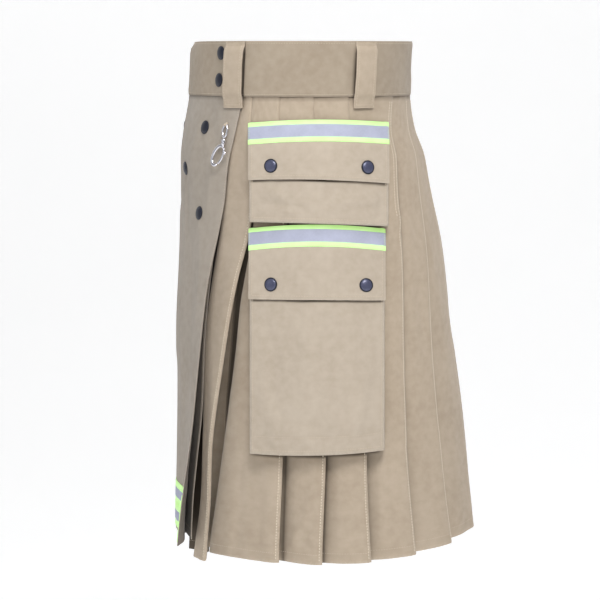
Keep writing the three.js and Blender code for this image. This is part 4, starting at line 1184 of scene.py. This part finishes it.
def make_tape(node_name, surface, stripes, thread):
    """Lime tape with its silver stripe, a little raised, in one band."""
    silver_rows = [k for k, stripe in enumerate(stripes) if stripe == 1]
    amount = np.zeros(surface.grid.shape[:2])
    amount[silver_rows[0] + 1:silver_rows[-1] + 1] = 0.12
    surface.push(amount)
    piece = cloth_piece(node_name + "_cloth", surface, TAPE_SHELL, [LIME, SILVER],
                        near_sides(surface, 5.0), row_material=stripes)
    dressed(piece, node_name)
    thread.sew_beside(surface, "top bottom", 1.3, TAPE_SHELL, "tape")
    thread.sew_beside(surface, "left right", 1.6, TAPE_SHELL, "tape")


def make_apron_tapes(front, thread):
    for name, (top, bottom) in APRON_TAPES.items():
        depths = top + APRON_TAPE_ROWS / APRON_TAPE_ROWS[-1] * (bottom - top)
        rows = np.interp(depths, front.depths, np.arange(len(front.depths)))
        grid_places = np.meshgrid(rows, np.arange(front.grid.shape[1]), indexing="ij")
        surface = Surface(front.pick(*grid_places)[0], front.across, depths)
        surface = surface.raised(SHELL / 2 + APRON_TAPE_OVER_CLOTH)
        make_tape(name, surface, APRON_TAPE_STRIPES, thread)


# Belt loops
def make_loops(thread):
    shares = np.array([-1, -0.94, -0.85, -0.7, -0.4, 0, 0.4, 0.7, 0.85, 0.94, 1])
    roll = -0.35 * np.abs(shares) ** 8
    depths = np.concatenate([
        [0.6, 1.6, 3], np.linspace(4.5, 12, 9), np.linspace(15, 58, 14), np.linspace(60, 71, 9),
        [73, 75, 77, 78, 78.5]])
    for name, centre in LOOPS.items():
        half = LOOP_WIDTH / 2 * degrees_per_mm(centre, TOP)
        grid = []
        for depth in depths:
            free = math.sin(math.pi * np.clip((depth - 11) / 50, 0, 1))
            out = value_at(LOOP_PROFILE, "out", depth) + 0.5 * free * math.sin(depth / 9.0 + centre)
            narrow = 1 - 0.03 * math.sin(math.pi * np.clip((depth - 8) / 56, 0, 1))
            grid.append(on_body(centre + half * shares * narrow, depth, out + roll))
        surface = Surface(np.stack(grid), shares, depths)
        lumps = rumpled(shares[None] * 14, depths[:, None], 71 + int(centre), 30, 1.3)
        surface.push(0.3 * lumps * (depths[:, None] > 6))
        piece = cloth_piece(f"belt_loop_{name}_cloth", surface, LOOP_SHELL, [KHAKI],
                            near_sides(surface, 6.0), near_sides(surface, 1.4, "left right bottom"))
        dressed(piece, f"belt_loop_{name}")
        thread.sew_beside(surface, "left right", 3.2, LOOP_SHELL, clip=(4, 3))
        for inset in (2.6, 3.8):
            thread.sew_beside(surface, "top bottom", inset, LOOP_SHELL, "bar_tack", clip=(2, 2))

# Snaps
CAP_PROFILE = [
    (0.0, 2.75), (1.6, 2.72), (3.2, 2.56), (4.6, 2.22), (5.6, 1.78), (6.1, 1.38), (6.35, 1.2),
    (6.6, 1.22), (6.95, 1.2), (7.3, 1.0), (7.5, 0.65), (7.45, 0.28), (7.2, 0.05), (6.6, 0.0),
    (0.0, 0.0)]
CAP_SCALE = 1.1
CAP_SIDES = 36
DOME_STRIPS = 5
CAP_LIFT = 0.05

def lathed(profile, segments):
    """Vertices and faces of a profile turned about the local z axis."""
    vertices, faces = [], []
    angles = np.linspace(0, 2 * math.pi, segments, endpoint=False)
    rings = []
    for r, h in profile:
        if r < 1e-6:
            rings.append([len(vertices)])
            vertices.append((0, 0, h))
        else:
            rings.append(list(range(len(vertices), len(vertices) + segments)))
            vertices.extend((r * math.cos(t), r * math.sin(t), h) for t in angles)
    for low, high in zip(rings, rings[1:]):
        for k in range(segments):
            n = (k + 1) % segments
            if len(low) == 1:
                faces.append((low[0], high[k], high[n]))
            elif len(high) == 1:
                faces.append((low[k], high[0], low[n]))
            else:
                faces.append((low[k], high[k], high[n], low[n]))
    return np.array(vertices), faces


def make_snaps(snaps, group_name, prefix, dome):
    """All the snap caps whose nodes' names start alike, as one piece with its own dome material;
    for the flaps' snaps that is a lighter enamel painted as a reflection.
    """
    vertices, faces, places, nodes = [], [], [], []
    cap, cap_faces = lathed([(r * CAP_SCALE, h) for r, h in CAP_PROFILE], CAP_SIDES)
    for name, (point, normal) in snaps.items():
        if not name.startswith(prefix):
            continue
        turn = Vector((0, 0, 1)).rotation_difference(Vector(normal)).to_matrix()
        offset = len(cap) * len(nodes)
        vertices.append(cap @ np.array(turn).T + point + normal * CAP_LIFT)
        faces.extend([tuple(k + offset for k in face) for face in cap_faces])
        places.extend([int(k < CAP_SIDES * DOME_STRIPS) for k in range(len(cap_faces))])
        nodes.append(name)
    piece = make_object(group_name, np.concatenate(vertices), faces, [ENAMEL, dome], places)
    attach(piece, "kilt")
    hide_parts(*nodes)


# Swivel clasp, in its own plane: x across, y up the cloth, z out from it.
CLASP_ANGLE, CLASP_DEPTH, CLASP_LEAN, CLASP_OFF_CLOTH = -54.4, 106.0, 5.0, 2.35
CLAW_CENTRE, CLAW_TILT = np.array([-6.4, -29.4]), math.radians(27)
EYE_RADII, EYE_BAR = (3.6, 7.4), (1.3, 1.2)
HOOK_RADII, HOOK_ANGLES, HOOK_BAR = (7.5, 12.5), (72, 313), (2.0, 1.55)
GATE_RADII, GATE_ANGLES, GATE_BAR = (7.6, 12.6), (-42, 66), (1.35, 1.2)
KNOB_ANGLE, KNOB_RADIUS, KNOB_OUT, STEM_RADIUS = 34, 2.1, 1.2, 0.9
PIN_ANGLE = 64
POST_PROFILE = [(0, -6.7), (1.0, -6.8), (1.45, -7.2), (1.5, -8.0), (1.2, -8.5), (0.9, -8.9),
                (0.9, -13.3), (1.6, -13.5), (1.65, -14.4), (0, -14.6)]
HEAD_PROFILE = [(0, -16.9), (1.6, -16.9), (2.4, -16.5), (2.75, -15.7), (2.8, -14.6), (2.35, -14.3),
                (2.35, -13.9), (2.8, -13.6), (2.8, -11.2), (2.5, -10.1), (1.9, -9.6), (1.3, -9.5),
                (1.25, -12.9), (0, -12.9)]
PIN_PROFILE = [(0, -1.25), (0.55, -1.25), (0.75, -1.1), (0.75, 1.1), (0.55, 1.25), (0, 1.25)]
WHIPPING_RADIUS = 0.34
WHIPPING_LEANS = (-0.5, 0.3, -0.2, 0.5, 0.0)


def clasp_frame():
    """Rows of the clasp's own x, y and z directions, and its origin."""
    at = lambda u, v: on_body(np.array([u]), v, 0.6)[0]
    along = at(CLASP_ANGLE + 1.5, CLASP_DEPTH) - at(CLASP_ANGLE - 1.5, CLASP_DEPTH)
    down = at(CLASP_ANGLE, CLASP_DEPTH + 1.5) - at(CLASP_ANGLE, CLASP_DEPTH - 1.5)
    normal = np.cross(down, along)
    normal /= np.linalg.norm(normal)
    point = at(CLASP_ANGLE, CLASP_DEPTH)
    if normal[0] * point[0] + normal[1] * point[1] < 0:
        normal = -normal
    up = np.array([0, 0, 1.0]) - normal * normal[2]
    up /= np.linalg.norm(up)
    side = np.cross(up, normal)
    lean = math.radians(-CLASP_LEAN)
    leaned_up = up * math.cos(lean) + normal * math.sin(lean)
    leaned_out = -up * math.sin(lean) + normal * math.cos(lean)
    return np.stack([side, leaned_up, leaned_out]), point + normal * CLASP_OFF_CLOTH


def oval_point(rx, ry, degrees):
    """A point on an oval round the claw's centre, turned by its tilt."""
    x, y = rx * math.cos(math.radians(degrees)), ry * math.sin(math.radians(degrees))
    c, s = math.cos(-CLAW_TILT), math.sin(-CLAW_TILT)
    return np.array([x * c - y * s, x * s + y * c]) + CLAW_CENTRE


def swept(path, widths, depths, closed=False, sides=14, power=0.8):
    """A rounded bar along a path in the clasp's plane, of given half widths and half depths."""
    count = len(path)
    vertices, faces = [], []
    for i, p in enumerate(path):
        after = path[(i + 1) % count] if closed or i < count - 1 else path[i]
        before = path[i - 1] if closed or i > 0 else path[i]
        t = after - before
        t /= np.linalg.norm(t)
        side = np.array([t[1], -t[0]])
        for k in range(sides):
            a = 2 * math.pi * k / sides
            c, s = math.cos(a), math.sin(a)
            c, s = math.copysign(abs(c) ** power, c), math.copysign(abs(s) ** power, s)
            xy = p + side * widths[i] * c
            vertices.append((xy[0], xy[1], depths[i] * s))
    loops = count if closed else count - 1
    for i in range(loops):
        for k in range(sides):
            n, j = (k + 1) % sides, (i + 1) % count
            faces.append((i * sides + k, j * sides + k, j * sides + n, i * sides + n))
    if not closed:
        faces.append(tuple(range(sides)))
        faces.append(tuple((count - 1) * sides + k for k in reversed(range(sides))))
    return np.array(vertices), faces


def joined(*parts):
    vertices, faces, offset = [], [], 0
    for v, f in parts:
        vertices.append(v)
        faces.extend([tuple(k + offset for k in face) for face in f])
        offset += len(v)
    return np.concatenate(vertices), faces


def upright(profile, sides):
    """A lathed part with its axis turned to the clasp's y direction."""
    v, f = lathed(profile, sides)
    return np.stack([v[:, 0], v[:, 2], v[:, 1]], -1), [face[::-1] for face in f]


def facing_out(profile, sides, place, out=0.0):
    """A lathed part with its axis along the clasp's z direction, at a place on the claw."""
    v, f = lathed(profile, sides)
    return v + np.array([*place, out]), [face[::-1] for face in f]


def bar_ends(count, full, ends=0.35):
    """Half widths along a bar that rounds off at both ends."""
    f = np.linspace(0, 1, count)
    return full * (ends + (1 - ends) * np.clip(np.sin(np.pi * f) * 6, 0, 1) ** 0.5)


def tube(path, radius, sides=8):
    vertices, faces = [], []
    for p, t in zip(path, np.gradient(path, axis=0)):
        t = t / np.linalg.norm(t)
        side = np.cross(t, (1.0, 0, 0))
        if np.linalg.norm(side) < 1e-3:
            side = np.cross(t, (0, 1.0, 0))
        side /= np.linalg.norm(side)
        other = np.cross(t, side)
        for k in range(sides):
            a = 2 * math.pi * k / sides
            vertices.append(p + radius * (side * math.cos(a) + other * math.sin(a)))
    for i in range(len(path) - 1):
        for k in range(sides):
            n = (k + 1) % sides
            faces.append((i * sides + k, i * sides + n, (i + 1) * sides + n, (i + 1) * sides + k))
    faces.append(tuple(reversed(range(sides))))
    faces.append(tuple((len(path) - 1) * sides + k for k in range(sides)))
    return np.array(vertices), faces


def make_clasp():
    axes, origin = clasp_frame()
    eye_path = [np.array([EYE_RADII[0] * math.cos(t), EYE_RADII[1] * math.sin(t)])
                for t in np.linspace(0, 2 * math.pi, 56, endpoint=False)]
    widths, depths = (np.full(len(eye_path), half) for half in EYE_BAR)
    eye = joined(swept(eye_path, widths, depths, closed=True, power=1.0), upright(POST_PROFILE, 24))

    hook_path = [oval_point(*HOOK_RADII, t) for t in np.linspace(*HOOK_ANGLES, 60)]
    widths, depths = (bar_ends(len(hook_path), half) for half in HOOK_BAR)
    slimmer = 1 - 0.12 * smoothstep(np.linspace(0, 1, len(hook_path)), 0.6, 1.0)
    claw = joined(swept(hook_path, widths * slimmer, depths), upright(HEAD_PROFILE, 28))

    gate_path = [oval_point(*GATE_RADII, t) for t in np.linspace(*GATE_ANGLES, 34)]
    bar = swept(gate_path, *(bar_ends(len(gate_path), half) for half in GATE_BAR))
    stem_path = [oval_point(7.8 + 2.6 * f, 12.8 + 1.0 * f, KNOB_ANGLE)
                 for f in np.linspace(0, 1, 5)]
    stem_size = np.full(len(stem_path), STEM_RADIUS)
    ball = [(KNOB_RADIUS * math.sin(t), -KNOB_RADIUS * math.cos(t))
            for t in np.linspace(0, math.pi, 14)]
    gate = joined(bar, swept(stem_path, stem_size, stem_size, power=1.0),
                  facing_out(ball, 24, oval_point(11.4, 14.5, KNOB_ANGLE), KNOB_OUT),
                  facing_out(PIN_PROFILE, 20, oval_point(*GATE_RADII, PIN_ANGLE)))

    for body, (v, f) in (("eye", eye), ("claw", claw), ("gate", gate)):
        piece = make_object(f"clasp_{body}_plated", v @ axes + origin, f, [CHROME])
        dressed(piece, f"clasp_{body}", body=body)
    return axes, origin


def make_clasp_whipping(axes, origin):
    """Turns of thread that hold the eye's top bar to the cloth."""
    parts = []
    for k, lean in enumerate(WHIPPING_LEANS):
        x = -1.5 + 0.75 * k
        y = EYE_RADII[1] * math.sqrt(1 - (x / EYE_RADII[0]) ** 2)
        turn = [(x + lean * 0.4 * math.cos(t), y + 1.45 * math.cos(t) + 0.15, 1.5 * math.sin(t))
                for t in np.linspace(-0.35 * math.pi, 1.35 * math.pi, 22)]
        low = [(x + lean * 0.6, y - 1.3, -0.4), (x + lean, y - 2.4, -1.6),
               (x + lean, y - 2.6, -2.3)]
        high = [(x - lean * 0.6, y + 1.6, -0.4), (x - lean, y + 2.9, -1.7),
                (x - lean, y + 3.2, -2.3)]
        parts += [tube(np.array(path), WHIPPING_RADIUS) for path in (turn, low, high)]
    v, f = joined(*parts)
    piece = make_object("clasp_whipping", v @ axes + origin, f, [THREAD])
    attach(piece, "kilt")


# Studio
VIEW_AZIMUTH, VIEW_ELEVATION, VIEW_DISTANCE = 74, 5.5, 3.2
AIM_DEPTH = 318.5
HALF_FRAME = 0.3 * 1.238
LIGHT_AIM = (0, 0, -0.28)
SHEET_HALF_WIDTH, SHEET_DROP, SHEET_TOP = 7.0, 1.0, 6.0
SHEET_FRONT, SHEET_BACK, SHEET_BEND = -6.0, 2.0, 1.5
LAMPS = [("key_softbox", 82, 42, 2.6, 0.9, 40, (1.0, 0.985, 0.965)),
         ("front_softbox", 20, 18, 3.0, 1.6, 6, (0.90, 0.95, 1.0)),
         ("top_softbox", 80, 78, 2.4, 1.4, 12, (1, 1, 1)),
         ("back_softbox", 215, 35, 3.0, 1.5, 8, (1, 1, 1))]


def make_stage():
    """One seamless sheet: a floor that curves up into a backdrop behind the kilt."""
    material, tree, shader = new_material("studio_paper")
    grain = noise(tree, node(tree, "ShaderNodeTexCoord").outputs["Object"], 3.0, 2.0)
    colour = mixed_colour(tree, grain, (0.93, 0.93, 0.93, 1), (0.96, 0.96, 0.96, 1))
    tree.links.new(colour, shader.inputs["Base Color"])
    set_sockets(shader, Roughness=0.95, Emission_Color=(1, 1, 1, 1), Emission_Strength=0.3)
    profile = [(SHEET_FRONT, 0.0), (SHEET_BACK, 0.0)]
    profile += [(SHEET_BACK + SHEET_BEND * math.sin(t), SHEET_BEND - SHEET_BEND * math.cos(t))
                for t in np.linspace(0, math.pi / 2, 16)[1:]]
    profile += [(SHEET_BACK + SHEET_BEND, SHEET_TOP)]
    turn = math.radians(VIEW_AZIMUTH)
    away = Vector((-math.sin(turn), math.cos(turn), 0))
    right = Vector((math.cos(turn), math.sin(turn), 0))
    vertices, faces = [], []
    for distance, height in profile:
        for side in (-SHEET_HALF_WIDTH, SHEET_HALF_WIDTH):
            p = away * distance + right * side
            vertices.append((p.x, p.y, height - SHEET_DROP))
    for k in range(len(profile) - 1):
        faces.append((2 * k, 2 * k + 1, 2 * k + 3, 2 * k + 2))
    mesh = bpy.data.meshes.new("studio_sheet")
    mesh.from_pydata(vertices, [], faces)
    mesh.materials.append(material)
    mesh.shade_smooth()
    sheet = bpy.data.objects.new("studio_sheet", mesh)
    bpy.context.scene.collection.objects.link(sheet)


def set_facing(thing, azimuth, elevation, distance, target):
    """Put a lamp or camera at an angle and distance from a target, and turn it to it."""
    az, el = math.radians(azimuth), math.radians(elevation)
    step = Vector((math.sin(az) * math.cos(el), -math.cos(az) * math.cos(el), math.sin(el)))
    thing.location = Vector(target) + step * distance
    thing.rotation_euler = (Vector(target) - thing.location).to_track_quat("-Z", "Y").to_euler()
    bpy.context.scene.collection.objects.link(thing)


def make_light():
    scene = bpy.context.scene
    scene.world = bpy.data.worlds.new("studio")
    scene.world.use_nodes = True
    background = scene.world.node_tree.nodes["Background"]
    set_sockets(background, Color=(0.97, 0.98, 1.0, 1), Strength=0.36)
    for name, azimuth, elevation, distance, size, energy, colour in LAMPS:
        lamp = bpy.data.lights.new(name, "AREA")
        lamp.shape, lamp.size, lamp.energy, lamp.color = "SQUARE", size, energy, colour
        set_facing(bpy.data.objects.new(name, lamp), azimuth, elevation, distance, LIGHT_AIM)
    scene.view_settings.view_transform = "Standard"
    scene.view_settings.look = "None"


def make_camera():
    data = bpy.data.cameras.new("photo_camera")
    camera = bpy.data.objects.new("photo_camera", data)
    target = (0, 0, (TOP - AIM_DEPTH) * METRE)
    set_facing(camera, VIEW_AZIMUTH, VIEW_ELEVATION, VIEW_DISTANCE, target)
    data.sensor_fit = "HORIZONTAL"
    data.angle = 2 * math.atan(HALF_FRAME / VIEW_DISTANCE)
    data.clip_end = 50
    bpy.context.scene.camera = camera


make_camera()
make_light()
make_stage()

body_thread, pleat_thread, pocket_thread, tape_thread = (Thread() for _ in range(4))
snap_places = {}
band_front = make_waistband(body_thread)
apron_front = make_aprons(body_thread)
make_skirt_side("left", OPEN_FRONT, 31, body_thread, pleat_thread)
make_skirt_side("right", CLOSED_FRONT, 37, body_thread, pleat_thread)
make_loops(pocket_thread)
for side, seed in (("left", 21), ("right", 71)):
    for index, (name, pocket) in enumerate(POCKETS.items()):
        make_bag(name, side, pocket, seed + 7 * index, pocket_thread)
        make_flap(name, side, pocket, seed + 7 * index + 3, snap_places, pocket_thread, tape_thread)
make_apron_tapes(apron_front, tape_thread)
for side in ("left", "right"):
    for number, (angle, depth) in enumerate(zip(WAIST_SNAP_ANGLES, WAIST_SNAP_DEPTHS), 1):
        spot, facing = band_front.at(angle if side == "left" else -180 - angle, depth)
        snap_places[f"snap_waist_{side}_{number}"] = (spot + facing * BAND_SHELL / 2, facing)
for label, (across, depth) in APRON_SNAPS.items():
    half_left, half_right = value_at(APRON, "left", depth), value_at(APRON, "right", depth)
    spot, facing = apron_front.at((across + half_right) / (half_left + half_right), depth)
    snap_places[f"snap_apron_{label}"] = (spot + facing * SHELL / 2, facing)
make_snaps(snap_places, "snaps_of_waist", "snap_waist", ENAMEL)
make_snaps(snap_places, "snaps_of_apron", "snap_apron", ENAMEL)
make_snaps(snap_places, "snaps_of_upper_flaps", "snap_upper", DOME_ENAMEL_PAINTED_REFLECTION)
make_snaps(snap_places, "snaps_of_lower_flaps", "snap_lower", DOME_ENAMEL_PAINTED_REFLECTION)
make_clasp_whipping(*make_clasp())
body_thread.piece("stitching_of_skirt_and_band", THREAD)
pleat_thread.piece("stitching_of_pleats", CREAM_THREAD)
pocket_thread.piece("stitching_of_pockets_and_loops", THREAD)
tape_thread.piece("stitching_of_tape", TAPE_THREAD, slot="tape")
